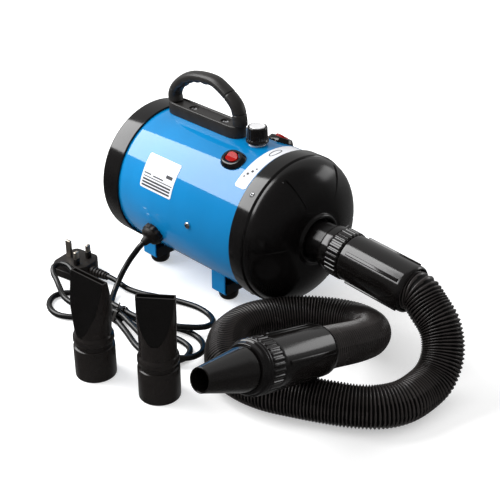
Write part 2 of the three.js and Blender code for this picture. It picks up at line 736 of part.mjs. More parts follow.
// A flat strap round the five passes of the lead.
function cordTie() {
  const loop = (x, thickness) => sectionRing(
    new THREE.Vector3(x, TIE_Y, TIE_Z), new THREE.Vector3(0, 1, 0), new THREE.Vector3(0, 0, 1),
    TIE_HALF_Y + thickness, TIE_HALF_Z + thickness, 3.2, 20,
  );
  const [back, front] = [TIE_X - TIE_HALF_WIDTH, TIE_X + TIE_HALF_WIDTH];
  const strap = loft([loop(back, 0), loop(back, TIE_STRAP), loop(front, TIE_STRAP), loop(front, 0)], true);
  add('cord_tie', strap, 0x101010);
}

// ---- hose couplings, hose and hand nozzle ----
// Coupling pieces are built about +X from their own origin and then placed.
function placeAlong(geometry, origin, direction) {
  const turn = new THREE.Quaternion().setFromUnitVectors(new THREE.Vector3(1, 0, 0), direction);
  geometry.applyQuaternion(turn);
  geometry.translate(origin.x, origin.y, origin.z);
  return geometry;
}

const KNURL_START = 28;
const SHOULDER_START = 17;
const KNURL_END = 46;
const SLEEVE_END = 134;
const HOSE_STOP = KNURL_END + 30;
const HOSE_END = HOSE_STOP + 6;
const KNURL_COUNT = 20;
const RIB_ANGLES = [50, 140, 230, 320];

function knurledRing(bore) {
  const depth = KNURL_END - KNURL_START;
  const high = COUPLING_R + 1.6;
  const low = COUPLING_R + 0.6;
  const oneBar = [[0, high], [0.5, high], [0.6, low], [0.9, low]];
  const shape = new THREE.Shape();
  for (let i = 0; i < KNURL_COUNT; i += 1) {
    const step = (2 * Math.PI) / KNURL_COUNT;
    for (const [part, radius] of oneBar) {
      const angle = (i + part) * step;
      const x = radius * Math.cos(angle);
      const y = radius * Math.sin(angle);
      if (i === 0 && part === 0) shape.moveTo(x, y);
      else shape.lineTo(x, y);
    }
  }
  shape.closePath();
  shape.holes.push(new THREE.Path(arc(0, 0, bore, bore, 0, -360, 20).slice(0, -1)
    .map(([x, y]) => new THREE.Vector2(x, y))));
  const geometry = new THREE.ExtrudeGeometry(shape, { depth, bevelEnabled: false });
  geometry.rotateY(Math.PI / 2);
  geometry.translate(KNURL_START, 0, 0);
  return geometry;
}

function ribbedSleeve(neckBore) {
  const start = KNURL_END + GAP;
  const tube = latheX(closed([
    [start, neckBore],
    [start, COUPLING_R - 0.6],
    [start + 3, COUPLING_R],
    [SLEEVE_END - 4, COUPLING_R],
    [SLEEVE_END - 1, COUPLING_R - 0.8],
    [SLEEVE_END, HOSE_R + 2],
    [SLEEVE_END - 6, HOSE_R + 1],
    [HOSE_STOP, HOSE_R + 1],
    [HOSE_STOP, neckBore],
  ]), 24, 0);
  const ribs = RIB_ANGLES.map((angle) => {
    const rib = box(72, 4, 3.4, start + 44, 0, COUPLING_R + 0.3);
    rib.rotateX(THREE.MathUtils.degToRad(angle));
    return rib;
  });
  return fuse(tube, ...ribs);
}

const DROOP = THREE.MathUtils.degToRad(COUPLING_DROOP);
const MACHINE_AXIS = new THREE.Vector3(Math.cos(DROOP), 0, -Math.sin(DROOP));
const MACHINE_PIVOT = new THREE.Vector3(COUPLING_PIVOT_X, 0, AXIS_Z);

function machineCoupling() {
  const bore = OUTLET_R + 1.9;
  const shoulder = latheX(closed([
    [SHOULDER_START, bore],
    [SHOULDER_START, bore + 0.9],
    [SHOULDER_START + 1.5, bore + 1.6],
    [KNURL_START + 2, bore + 1.6],
    [KNURL_START + 2, bore],
  ]), 20, 0);
  add('machine_ring', placeAlong(fuse(knurledRing(bore), shoulder), MACHINE_PIVOT, MACHINE_AXIS), 0x1e1e1e);
  add('machine_sleeve', placeAlong(ribbedSleeve(COUPLING_R - 6), MACHINE_PIVOT, MACHINE_AXIS), 0x0c0c0c);
}

// The hand piece points away from the hose end, from its sleeve to the nozzle tip.
const HAND_COLLAR = new THREE.Vector3(180.4, -240, 105);
const HAND_AXIS = new THREE.Vector3(-0.061, 0.953, -0.297).normalize();

function handCoupling() {
  const bore = OUTLET_R + GAP;
  add('hand_sleeve', placeAlong(ribbedSleeve(COUPLING_R - 6), handOrigin(), HAND_AXIS), 0x0c0c0c);
  add('hand_ring', placeAlong(knurledRing(bore + 1), handOrigin(), HAND_AXIS), 0x1e1e1e);
  const collar = latheX(closed([
    [KNURL_START - GAP, NOZZLE_PLUG_R + GAP],
    [KNURL_START - GAP, COUPLING_R + 1],
    [KNURL_START - 7, COUPLING_R + 1],
    [KNURL_START - 8, COUPLING_R - 1.5],
    [KNURL_START - 13, COUPLING_R - 2.5],
    [KNURL_START - 13, NOZZLE_PLUG_R + GAP],
  ]), 24, 0);
  add('hand_collar', placeAlong(collar, handOrigin(), HAND_AXIS), 0x131313);
}

function handOrigin() {
  return HAND_COLLAR.clone().addScaledVector(HAND_AXIS, -(KNURL_START - 13));
}

const NOZZLE_PLUG_R = 21;
const CONE_LENGTH = 61;
const CONE_TIP_R = 12.4;

function coneNozzle() {
  const shoulder = KNURL_START - 13 - GAP;
  const tip = shoulder - CONE_LENGTH;
  const cone = latheX(closed([
    [tip, CONE_TIP_R - 1.6],
    [tip, CONE_TIP_R],
    [shoulder - 6, NOZZLE_PLUG_R + 0.6],
    [shoulder, NOZZLE_PLUG_R + 1.2],
    [shoulder, NOZZLE_PLUG_R],
    [KNURL_START + 12, NOZZLE_PLUG_R - 0.4],
    [KNURL_START + 12, NOZZLE_PLUG_R - 2.4],
    [shoulder, NOZZLE_PLUG_R - 2],
  ]), 24, 0);
  add('cone_nozzle', placeAlong(cone, handOrigin(), HAND_AXIS), 0x151515);
}

const MACHINE_HOSE_START = MACHINE_PIVOT.clone().addScaledVector(MACHINE_AXIS, HOSE_END);

// Route of the hose: droops from the machine, a wide loop on the floor, back up to the hand piece.
function hoseRoute() {
  const handEnd = (along) => handOrigin().addScaledVector(HAND_AXIS, along);
  const machineEnd = MACHINE_PIVOT.clone().addScaledVector(MACHINE_AXIS, SLEEVE_END);
  return [
    MACHINE_HOSE_START.toArray(), machineEnd.toArray(),
    MACHINE_PIVOT.clone().addScaledVector(MACHINE_AXIS, SLEEVE_END + 9).toArray(),
    [219, -3, 86], [235, -6, 75], [247, -13, 60], [254, -23, 46], [257, -38, 33], [256, -58, 26],
    [253, -84, 24], [242, -106, 23.6], [224, -123, 23.6], [200, -138, 23.6], [170, -154, 23.6],
    [142, -167, 23.6], [112, -173, 23.6], [82, -169, 23.6], [59, -151, 23.6], [40, -124, 24],
    [38, -94, 25.5], [50, -64, 25.5], [71, -38, 26.5], [99, -18.5, 27], [126, -10, 28.5], [150, -16, 33],
    [165, -36, 41], [170, -62, 49],
    handEnd(SLEEVE_END + 22).toArray(), handEnd(SLEEVE_END).toArray(), handEnd(HOSE_END).toArray(),
  ];
}

function hose() {
  add('hose', pipe(hoseRoute(), HOSE_R, 10, 42, HOSE_BORE_R), 0x161616);
}

// ---- loose flat nozzles ----
const NOZZLE_WALL = 2;
const NOZZLE_LIP_WALL = 1.2;
const NOZZLE_NECK_R = NOZZLE_BASE_R - 2.6;
const NOZZLE_EDGE_Z = 1.5;
const NOZZLE_GROOVE_Z = [38, 43];

// A round socket and neck; two slanting flats squeeze the top into a slot from flatStart upwards.
function flatNozzle(name, x, y, yawDeg, mouthHalfLength, mouthHalfWidth, flatStart) {
  const yaw = THREE.MathUtils.degToRad(yawDeg);
  const along = new THREE.Vector3(Math.cos(yaw), Math.sin(yaw), 0);
  const across = new THREE.Vector3(-Math.sin(yaw), Math.cos(yaw), 0);
  const base = NOZZLE_BASE_R;
  const neck = NOZZLE_NECK_R;
  const [grooveLow, grooveHigh] = NOZZLE_GROOVE_Z;
  const sections = [
    [0, base - 1.2, base],
    [NOZZLE_EDGE_Z, base, base],
    [grooveLow, base, base],
    [grooveLow + 1, base - 2.4, base],
    [grooveHigh, base - 2.4, base],
    [grooveHigh + 2, base - 0.2, base],
    [grooveHigh + 8, base - 0.6, base],
    [grooveHigh + 11, neck, base],
  ];
  const flatSteps = 5;
  for (let i = 0; i <= flatSteps; i += 1) {
    const t = i / flatSteps;
    const z = THREE.MathUtils.lerp(flatStart, NOZZLE_HEIGHT, t);
    const halfLength = THREE.MathUtils.lerp(neck, mouthHalfLength, Math.min(1, t * 2));
    sections.push([z, halfLength, THREE.MathUtils.lerp(neck, mouthHalfWidth, t)]);
  }
  const ringAt = ([z, halfLength, limit], inset) => {
    const count = 20;
    const ring = [];
    for (let i = 0; i < count; i += 1) {
      const angle = (2 * Math.PI * i) / count;
      const round = z > flatStart ? neck : halfLength;
      const side = (round - inset) * Math.sin(angle);
      const flat = limit - inset;
      ring.push(new THREE.Vector3(x, y, z)
        .addScaledVector(along, (halfLength - inset) * Math.cos(angle))
        .addScaledVector(across, Math.max(-flat, Math.min(flat, side))));
    }
    return ring;
  };
  const outer = sections.map((section) => ringAt(section, 0));
  const outsideOnly = [NOZZLE_EDGE_Z, ...NOZZLE_GROOVE_Z];
  const inner = sections.filter(([z]) => !outsideOnly.includes(z)).reverse()
    .map((section) => ringAt(section, section[0] === NOZZLE_HEIGHT ? NOZZLE_LIP_WALL : NOZZLE_WALL));
  add(name, loft([...outer, ...inner], true), 0x141414);
}

// ---- inside the body ----
const MOTOR_R = 46;
const MOTOR_REAR_X = -150;
const MOTOR_LENGTH = 84;
const SHAFT_R = 4;
const ROTOR_R = 30;
const IMPELLER_R = 62;
const VANE_COUNT = 9;

function motorCan() {
  const front = MOTOR_REAR_X + MOTOR_LENGTH;
  const profile = closed([
    [MOTOR_REAR_X, 9],
    [MOTOR_REAR_X, MOTOR_R - 4],
    [MOTOR_REAR_X + 4, MOTOR_R],
    [front - 4, MOTOR_R],
    [front, MOTOR_R - 4],
    [front, 9],
    [front - 3, 9],
    [front - 3, MOTOR_R - 7],
    [MOTOR_REAR_X + 3, MOTOR_R - 7],
    [MOTOR_REAR_X + 3, 9],
  ]);
  add('motor_can', latheX(profile, 24), 0x9aa0a6);
}

function motorRotor() {
  const front = MOTOR_REAR_X + MOTOR_LENGTH;
  const rod = (radius, from, to, segments) => (
    latheX([[from, 0], [from, radius], [to, radius], [to, 0]], segments)
  );
  const shaft = rod(SHAFT_R, MOTOR_REAR_X - 34, front + 6, 14);
  const core = rod(ROTOR_R, MOTOR_REAR_X + 18, front - 18, 24);
  add('motor_rotor', fuse(shaft, core), 0x7c6a50);
}

function impeller() {
  const back = MOTOR_REAR_X - 30;
  const bore = SHAFT_R + GAP;
  const disc = latheX(closed([
    [back, bore],
    [back, IMPELLER_R],
    [back + 2, IMPELLER_R],
    [back + 2, 12],
    [back + 12, 10],
    [back + 12, bore],
  ]), 24);
  const vanes = [];
  for (let i = 0; i < VANE_COUNT; i += 1) {
    const vane = box(16, 46, 1.6, back + 9, 38, 0);
    vane.rotateX((2 * Math.PI * i) / VANE_COUNT + 0.35);
    vane.translate(0, 0, AXIS_Z);
    vanes.push(vane);
  }
  add('impeller', fuse(disc, ...vanes), 0x2c2c2c);
}

function fanShroud() {
  const back = MOTOR_REAR_X - 32;
  const profile = closed([
    [back, 66],
    [back, SHELL_R - SHELL_WALL - GAP],
    [back + 3, SHELL_R - SHELL_WALL - GAP],
    [back + 3, 70],
    [back + 26, 70],
    [back + 26, MOTOR_R + 4],
    [back + 24, MOTOR_R + 4],
    [back + 24, 66],
  ]);
  add('fan_shroud', latheX(profile, 28), 0x24282c);
}

function motorMount() {
  const x = MOTOR_REAR_X + MOTOR_LENGTH - 22;
  const ring = tubeX(MOTOR_R + GAP, MOTOR_R + 6, x, x + 10, 24);
  const arms = [];
  const armLength = SHELL_R - SHELL_WALL - GAP - MOTOR_R - 4;
  for (let i = 0; i < 3; i += 1) {
    const arm = box(10, 10, armLength, x + 5, 0, MOTOR_R + 4 + armLength / 2 - 0.6);
    arm.rotateX((2 * Math.PI * (i + 0.5)) / 3);
    arm.translate(0, 0, AXIS_Z);
    arms.push(arm);
  }
  add('motor_mount', fuse(ring, ...arms), 0x202020);
}

function heaterFrame() {
  const from = -14;
  const length = 34;
  const plates = [
    box(length, 70, 1.2, from + length / 2, 0, AXIS_Z),
    box(length, 1.2, 70, from + length / 2, 0, AXIS_Z),
  ];
  add('heater_frame', fuse(...plates), 0xcfc7a8);
}

function heaterBand() {
  add('heater_band', tubeX(35.6, 37.4, -12, 14, 32), 0xb9b4ac);
}

function controlBoard() {
  add('control_board', box(56, 44, 1.6, -104, 0, AXIS_Z + 58), 0x2d6b3a);
}

// ---- build ----
shell();
rearRing();
intakeCover();
filterFoam();
frontRing();
frontDome();
outletTube();
ringScrews();
sideScrews();
speedKnob();
knobWasher();
speedControl();
switchBezel('switch_bezel_near', 1);
switchBezel('switch_bezel_far', -1);
rocker('rocker_near', 1);
rocker('rocker_far', -1);
curvedPatch('scale_strip', -20, -2.5, -22, 44, 0.4, 0xf2f2f2);
curvedPatch('rating_label', -161, -105, 47, 75, 0.4, 0xe6e6e6);
handleBase();
handleScrews();
handleGrip();
footBracket('foot_bracket_front', FRONT_BRACKET_X);
footBracket('foot_bracket_rear', REAR_BRACKET_X);
footSaddle('foot_saddle_front', FRONT_BRACKET_X);
footSaddle('foot_saddle_rear', REAR_BRACKET_X);
rubberFoot('rubber_foot_1', FRONT_BRACKET_X, -FOOT_Y);
rubberFoot('rubber_foot_2', FRONT_BRACKET_X, FOOT_Y);
rubberFoot('rubber_foot_3', REAR_BRACKET_X, -FOOT_Y);
rubberFoot('rubber_foot_4', REAR_BRACKET_X, FOOT_Y);
cordGland();
plugBody();
plugPins();
powerCord();
cordTie();
machineCoupling();
handCoupling();
coneNozzle();
hose();
flatNozzle('flat_nozzle_1', -37, -256, 5, 25, 3.6, 54.5);
flatNozzle('flat_nozzle_2', 43, -232, 40, 21, 4.6, 72);
motorCan();
motorRotor();
impeller();
fanShroud();
motorMount();
heaterFrame();
heaterBand();
controlBoard();

// Centre the rigid pieces over the origin; the lead, hose and what hangs on them are left out.
const ON_CORDS = [
  'power_cord', 'cord_tie', 'plug_body', 'plug_pin_earth', 'plug_pin_live', 'plug_pin_neutral',
  'hose', 'hand_sleeve', 'hand_ring', 'hand_collar', 'cone_nozzle',
];
const rigid = new THREE.Box3();
for (const mesh of group.children) {
  if (!ON_CORDS.includes(mesh.name)) rigid.expandByObject(mesh);
}
const middle = rigid.getCenter(new THREE.Vector3());
for (const mesh of group.children) {
  mesh.geometry.translate(-middle.x, -middle.y, -rigid.min.z);
}

export default group;
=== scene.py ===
"""Looks of the pet dryer: visible pieces, materials, hose and lead, camera, floor and light.

Shapes are in millimetres in the dryer's own axes: x = 0 at the rear edge of the front ring, y = 0 on
the body axis, z = 0 on the floor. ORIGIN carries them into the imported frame, which is in metres.
"""

import json
import math
from itertools import pairwise

import bmesh
import bpy
from mathutils import Matrix, Vector


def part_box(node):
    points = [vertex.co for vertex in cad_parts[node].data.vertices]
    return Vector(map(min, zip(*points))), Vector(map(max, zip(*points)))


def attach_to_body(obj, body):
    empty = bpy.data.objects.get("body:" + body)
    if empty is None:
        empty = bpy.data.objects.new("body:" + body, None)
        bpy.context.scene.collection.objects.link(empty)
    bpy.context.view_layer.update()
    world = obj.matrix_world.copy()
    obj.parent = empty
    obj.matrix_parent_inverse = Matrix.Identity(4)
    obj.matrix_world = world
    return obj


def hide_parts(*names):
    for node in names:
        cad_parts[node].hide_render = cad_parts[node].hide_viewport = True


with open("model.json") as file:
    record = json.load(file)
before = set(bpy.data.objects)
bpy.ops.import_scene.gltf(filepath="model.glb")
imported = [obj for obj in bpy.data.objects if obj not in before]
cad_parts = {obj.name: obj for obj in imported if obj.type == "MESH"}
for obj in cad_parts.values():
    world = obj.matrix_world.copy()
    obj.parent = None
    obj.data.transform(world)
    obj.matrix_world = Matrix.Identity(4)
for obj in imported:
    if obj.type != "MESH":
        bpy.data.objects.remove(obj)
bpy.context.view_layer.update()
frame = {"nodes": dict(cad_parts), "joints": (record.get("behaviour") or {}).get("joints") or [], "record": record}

MM = 0.001
RECORD = frame["record"]
BODY_OF = {node: body for body, nodes in RECORD["behaviour"]["bodies"].items() for node in nodes}
JOINTS = {joint["name"]: joint for joint in frame["joints"]}


def centre(node):
    low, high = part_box(node)
    return (low + high) / 2


def half_size(node):
    """Half the node's box in millimetres, as (x, y, z)."""
    return [(high - low) / 2 / MM for low, high in zip(*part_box(node))]


def shift(x, y, z):
    """A move given in millimetres."""
    return Matrix.Translation(Vector((x, y, z)) * MM)


def turn(degrees, axis="X"):
    return Matrix.Rotation(math.radians(degrees), 4, axis)


def under(node):
    """The place on the floor below the middle of a node."""
    middle = centre(node)
    return Matrix.Translation((middle.x, middle.y, 0))


# ---- sizes read from the frame ----
ORIGIN = Vector((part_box("front_ring")[0].x, centre("body_shell").y, 0))


def own_x(point):
    """Where a point of the frame lies along the dryer's own x, in millimetres."""
    return (point.x - ORIGIN.x) / MM


AXIS_Z = centre("body_shell").z / MM
SHELL_R = half_size("body_shell")[2]
RING_R = half_size("front_ring")[2]
FRONT_LENGTH = 2 * half_size("front_ring")[0]
REAR_LENGTH = 2 * half_size("rear_ring")[0]
REAR_END_X = own_x(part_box("rear_ring")[0])
DOME_START_X = FRONT_LENGTH + 0.3
COLLAR_END_X = own_x(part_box("front_dome")[1])
CONTROL_X = own_x(centre("speed_knob"))
COLLAR_R = 30
COUPLING_R = 27
SWITCH_ANGLE = 26
MACHINE_PIVOT = Vector(JOINTS["machine_ring_turn"]["pos_m"])
MACHINE_AXIS = Vector(JOINTS["machine_ring_turn"]["axis"])
HAND_AXIS = Vector(JOINTS["hand_ring_turn"]["axis"])
HAND_ORIGIN = Vector(JOINTS["hand_ring_turn"]["pos_m"]) - 15 * MM * HAND_AXIS

BODY_PLACE = Matrix.Translation(ORIGIN + Vector((0, 0, AXIS_Z * MM)))
UPRIGHT = turn(-90, "Y")


def at(x, y, z):
    """A point given in the dryer's millimetres, in the frame's metres."""
    return ORIGIN + Vector((x, y, z)) * MM


def on_shell(x, angle, lift=0):
    """Local z points out of the shell; angle runs from the top towards the near side."""
    return Matrix.Translation(at(x, 0, AXIS_Z)) @ turn(angle) @ shift(0, 0, SHELL_R + lift)


def along(origin, direction):
    """Local x points along the direction."""
    aim = Vector((1, 0, 0)).rotation_difference(direction).to_matrix().to_4x4()
    return Matrix.Translation(origin) @ aim


MACHINE_PLACE = along(MACHINE_PIVOT, MACHINE_AXIS)
HAND_PLACE = along(HAND_ORIGIN, HAND_AXIS)


# ---- mesh helpers ----
def finish_mesh(piece, sharp=32):
    piece.data.shade_smooth()
    piece.data.set_sharp_from_angle(angle=math.radians(sharp))
    return piece


def new_object(name, data):
    thing = bpy.data.objects.new(name, data)
    bpy.context.scene.collection.objects.link(thing)
    return thing


def add_piece(name, mesh, sharp=32):
    return finish_mesh(new_object(name, mesh), sharp)


def built_mesh(name, build):
    mesh = bpy.data.meshes.new(name)
    build.to_mesh(mesh)
    build.free()
    return mesh


def mesh_piece(name, points, faces, place=None, sharp=32):
    mesh = bpy.data.meshes.new(name)
    mesh.from_pydata([Vector(p) * MM for p in points], [], faces)
    build = bmesh.new()
    build.from_mesh(mesh)
    bmesh.ops.remove_doubles(build, verts=build.verts, dist=1e-6)
    bmesh.ops.recalc_face_normals(build, faces=build.faces)
    build.to_mesh(mesh)
    build.free()
    if place is not None:
        mesh.transform(place)
    return add_piece(name, mesh, sharp)


def merge(name, *pieces):
    """Several meshes as one piece."""
    build = bmesh.new()
    for piece in pieces:
        build.from_mesh(piece.data)
        bpy.data.objects.remove(piece)
    return add_piece(name, built_mesh(name, build))


def carve(piece, *tools):
    """Cuts the tools out of the piece and deletes them."""
    for tool in tools:
        modifier = piece.modifiers.new("carve", "BOOLEAN")
        modifier.object = tool
        modifier.operation = "DIFFERENCE"
        modifier.solver = "EXACT"
    graph = bpy.context.evaluated_depsgraph_get()
    mesh = bpy.data.meshes.new_from_object(piece.evaluated_get(graph))
    piece.modifiers.clear()
    piece.data = mesh
    for tool in tools:
        bpy.data.objects.remove(tool)
    return finish_mesh(piece)


def soften(outline, size, loop=True, steps=3):
    """Rounds the corners of an outline with curves of about that size."""
    count = len(outline)
    points = []
    for i, (a, b) in enumerate(outline):
        if not loop and i in (0, count - 1):
            points.append((a, b))
            continue
        corner = Vector((a, b))
        before = Vector(outline[i - 1]) - corner
        after = Vector(outline[(i + 1) % count]) - corner
        reach = min(size, 0.45 * before.length, 0.45 * after.length)
        start = corner + before.normalized() * reach
        end = corner + after.normalized() * reach
        for k in range(steps + 1):
            t = k / steps
            mid = (1 - t) ** 2 * start + 2 * t * (1 - t) * corner + t * t * end
            points.append((mid.x, mid.y))
    return points


def arc(centre_a, centre_b, radius_a, radius_b, start, end, steps):
    """Points on part of an ellipse, from one angle to another in degrees."""
    points = []
    for k in range(steps + 1):
        angle = math.radians(start + (end - start) * k / steps)
        points.append((centre_a + radius_a * math.cos(angle), centre_b + radius_b * math.sin(angle)))
    return points


def even_angles(steps):
    return [2 * math.pi * k / steps for k in range(steps)]


def around(x, angle, radius):
    """A point at that angle, in radians, and radius round local x."""
    return (x, -radius * math.sin(angle), radius * math.cos(angle))


def lathe(name, outline, place, steps=96, loop=True, ripple=None, angles=None):
    """Turns (along, radius) points about local x. ripple(angle, along, radius) is added to the radius."""
    turns = angles or even_angles(steps)
    points = []
    for angle in turns:
        for a, r in outline:
            points.append(around(a, angle, r + (ripple(angle, a, r) if ripple else 0)))
    size = len(outline)
    faces = []
    for i in range(len(turns)):
        j = (i + 1) % len(turns)
        for k in range(size if loop else size - 1):
            n = (k + 1) % size
            faces.append((i * size + k, i * size + n, j * size + n, j * size + k))
    return mesh_piece(name, points, faces, place)


def loft(name, rings, place=None, hollow=False, sharp=32):
    """Skins equal rings of points; a hollow loft joins its last ring to its first."""
    size = len(rings[0])
    points = [p for ring in rings for p in ring]
    faces = []
    for r in range(len(rings) if hollow else len(rings) - 1):
        here, there = r * size, (r + 1) % len(rings) * size
        for i in range(size):
            j = (i + 1) % size
            faces.append((here + i, here + j, there + j, there + i))
    if not hollow:
        faces.append(tuple(range(size)))
        faces.append(tuple(range((len(rings) - 1) * size, len(rings) * size)))
    return mesh_piece(name, points, faces, place, sharp)


def rounded_box(name, size, place, radius=0.5, segments=3):
    build = bmesh.new()
    bmesh.ops.create_cube(build, size=1)
    bmesh.ops.scale(build, vec=Vector(size) * MM, verts=build.verts)
    bmesh.ops.bevel(
        build, geom=build.edges[:], offset=radius * MM, segments=segments, profile=0.5, affect="EDGES"
    )
    mesh = built_mesh(name, build)
    mesh.transform(place)
    return add_piece(name, mesh)


def oval(half_a, half_b, power=2.3, count=64):
    """Points (a, b) of a rounded loop; power 2 is an ellipse and a larger one is squarer."""
    points = []
    for angle in even_angles(count):
        c, s = math.cos(angle), math.sin(angle)
        a = math.copysign(abs(c) ** (2 / power), c) * half_a
        b = math.copysign(abs(s) ** (2 / power), s) * half_b
        points.append((a, b))
    return points


def flat_ring(outline, z):
    return [(a, b, z) for a, b in outline]


# ---- materials ----
def set_inputs(node, values):
    for label, value in values.items():
        node.inputs[label].default_value = value


COAT_ROUGHNESS = 0.04
GRAIN_HEIGHT = 0.0004


def surface(
    name, color, rough, metallic=0.0, coat=0.0, grain=400.0, bump=0.1, vary=0.12,
    stretch=(1, 1, 1), shine=0.3,
):
    """A finish whose colour, gloss and height all wander a little, so that nothing looks flat."""
    material = bpy.data.materials.new(name)
    material.use_nodes = True
    nodes, links = material.node_tree.nodes, material.node_tree.links
    shader = nodes["Principled BSDF"]
    set_inputs(shader, {"Metallic": metallic, "Specular IOR Level": shine})
    set_inputs(shader, {"Coat Weight": coat, "Coat Roughness": COAT_ROUGHNESS})
    place = nodes.new("ShaderNodeTexCoord")
    mapping = nodes.new("ShaderNodeMapping")
    set_inputs(mapping, {"Scale": stretch})
    links.new(place.outputs["Object"], mapping.inputs["Vector"])

    def noise(scale, detail):
        node = nodes.new("ShaderNodeTexNoise")
        set_inputs(node, {"Scale": scale, "Detail": detail})
        links.new(mapping.outputs["Vector"], node.inputs["Vector"])
        return node.outputs["Fac"]

    cloud = noise(grain / 12, 4)
    tint = nodes.new("ShaderNodeValToRGB")
    for stop, position, share in zip(tint.color_ramp.elements, (0.3, 0.7), (1 - vary, 1 + vary)):
        stop.position = position
        stop.color = [min(1, c * share) for c in color] + [1]
    links.new(cloud, tint.inputs["Fac"])
    links.new(tint.outputs["Color"], shader.inputs["Base Color"])

    gloss = nodes.new("ShaderNodeMapRange")
    set_inputs(gloss, {"To Min": rough * 0.8, "To Max": rough * 1.2})
    links.new(cloud, gloss.inputs["Value"])
    links.new(gloss.outputs["Result"], shader.inputs["Roughness"])

    relief = nodes.new("ShaderNodeBump")
    set_inputs(relief, {"Strength": bump, "Distance": GRAIN_HEIGHT})
    links.new(noise(grain, 3), relief.inputs["Height"])
    links.new(relief.outputs["Normal"], shader.inputs["Normal"])
    return material


# Arguments: name, colour, roughness, then what sets the finish apart.
BLUE = surface(
    "blue_enamel", (0.0005, 0.19, 0.46), 0.45, coat=1.0, grain=60, bump=0.05, vary=0.06,
    stretch=(4, 0.6, 0.6), shine=0.05,
)
GLOSS_BLACK = surface("gloss_black", (0.004, 0.0035, 0.0035), 0.11, grain=220, bump=0.02, shine=0.5)
DOME_BLACK = surface("dome_black", (0.004, 0.0035, 0.0035), 0.2, grain=220, bump=0.03, shine=0.4)
SATIN_BLACK = surface("satin_black", (0.02, 0.0185, 0.0175), 0.34, grain=900, bump=0.1)
SLEEVE_BLACK = surface("sleeve_black", (0.005, 0.0043, 0.004), 0.14, grain=300, bump=0.03, shine=0.6)
NOZZLE_BLACK = surface("nozzle_black", (0.012, 0.0102, 0.0095), 0.2, grain=700, bump=0.04, shine=0.35)
# The nozzles' flats are glossier than the rest and are painted darker as painted shade.
NOZZLE_FLAT_SHADE = surface("nozzle_flat_painted_shade", (0.003, 0.0027, 0.0026), 0.12, grain=500, bump=0.03, shine=0.3)
MATT_BLACK = surface("matt_black", (0.008, 0.006, 0.005), 0.5, grain=1200, bump=0.25)
RUBBER = surface("rubber", (0.006, 0.0055, 0.005), 0.42, grain=1000, bump=0.2)
# The hose's crests get a lighter colour as a painted highlight, and its valleys a near-black one as painted shade.
HOSE_CREST_HIGHLIGHT = surface("hose_crest_painted_highlight", (0.03, 0.026, 0.025), 0.26, grain=600, bump=0.08, shine=0.5)
HOSE_VALLEY_SHADE = surface("hose_valley_painted_shade", (0.002, 0.0018, 0.0017), 0.5, grain=600, bump=0.08, shine=0.1)
LEAD_BLACK = surface("lead_black", (0.004, 0.004, 0.004), 0.25, grain=500, bump=0.06, shine=0.4)
PLUG_BLACK = surface("plug_black", (0.009, 0.007, 0.006), 0.45, grain=1100, bump=0.2)
CHROME = surface("chrome", (0.8, 0.8, 0.82), 0.12, metallic=1.0, grain=500, bump=0.03, vary=0.04)
SILVER = surface("silver", (0.86, 0.86, 0.87), 0.28, metallic=0.3, grain=700, bump=0.05, vary=0.05)
PIN_METAL = surface("pin_metal", (0.62, 0.56, 0.48), 0.3, metallic=1.0, grain=400, bump=0.08)
RED = surface("switch_red", (0.3, 0.003, 0.002), 0.16, grain=300, bump=0.03, shine=0.15)
WHITE_FILM = surface("white_film", (0.74, 0.75, 0.79), 0.35, grain=200, bump=0.02, vary=0.02)
LABEL = surface("label", (0.72, 0.73, 0.77), 0.4, grain=400, bump=0.04, vary=0.03)
INK = surface("ink", (0.04, 0.04, 0.045), 0.5, grain=900, bump=0.05)
FOAM = surface("foam", (0.03, 0.032, 0.036), 0.9, grain=1500, bump=0.9, vary=0.4)
STEEL = surface("steel", (0.55, 0.55, 0.57), 0.3, metallic=1.0, grain=300, bump=0.1, stretch=(1, 8, 8))
ROTOR = surface("rotor", (0.42, 0.34, 0.26), 0.4, metallic=0.9, grain=300, bump=0.2, stretch=(8, 1, 1))
MICA = surface("mica", (0.62, 0.58, 0.46), 0.6, grain=500, bump=0.2)
BOARD = surface("board", (0.03, 0.2, 0.08), 0.45, grain=300, bump=0.1)


FLOOR_GLOW = 0.42


def lit_floor():
    """White paper that glows a little, as on a light table."""
    material = surface("floor", (0.8, 0.8, 0.8), 0.7, grain=40, bump=0.01, vary=0.01, shine=0.1)
    shader = material.node_tree.nodes["Principled BSDF"]
    set_inputs(shader, {"Emission Color": (1, 1, 1, 1), "Emission Strength": FLOOR_GLOW})
    return material


FLOOR = lit_floor()


def attach(piece, body, material):
    piece.data.materials.clear()
    piece.data.materials.append(material)
    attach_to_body(piece, body)
    return piece


def dress(piece, material, *nodes):
    """Finishes a piece that stands for these CAD nodes."""
    attach(piece, BODY_OF[nodes[0]], material)
    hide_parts(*nodes)
    return piece


def repaint(piece, material, chosen):
    """Gives a second material to the faces that chosen(face) picks."""
    piece.data.materials.append(material)
    for face in piece.data.polygons:
        face.material_index = int(chosen(face))


# ---- camera, light and floor ----
CAMERA_AZIMUTH = math.radians(45.79)
CAMERA_ELEVATION = math.radians(29.11)
CAMERA_DISTANCE = 1.3854
CAMERA_TARGET = at(-57.3, 0, 45.84)
CAMERA_LENS = 80.86
CAMERA_SENSOR = 36


def make_camera():
    towards = Vector((
        math.sin(CAMERA_AZIMUTH) * math.cos(CAMERA_ELEVATION),
        -math.cos(CAMERA_AZIMUTH) * math.cos(CAMERA_ELEVATION),
        math.sin(CAMERA_ELEVATION),
    ))
    data = bpy.data.cameras.new("camera")
    data.sensor_width = CAMERA_SENSOR
    data.lens = CAMERA_LENS
    data.clip_start = 0.01
    data.clip_end = 100
    camera = new_object("camera", data)
    camera.location = CAMERA_TARGET + towards * CAMERA_DISTANCE
    camera.rotation_euler = (-towards).to_track_quat("-Z", "Y").to_euler()
    bpy.context.scene.camera = camera


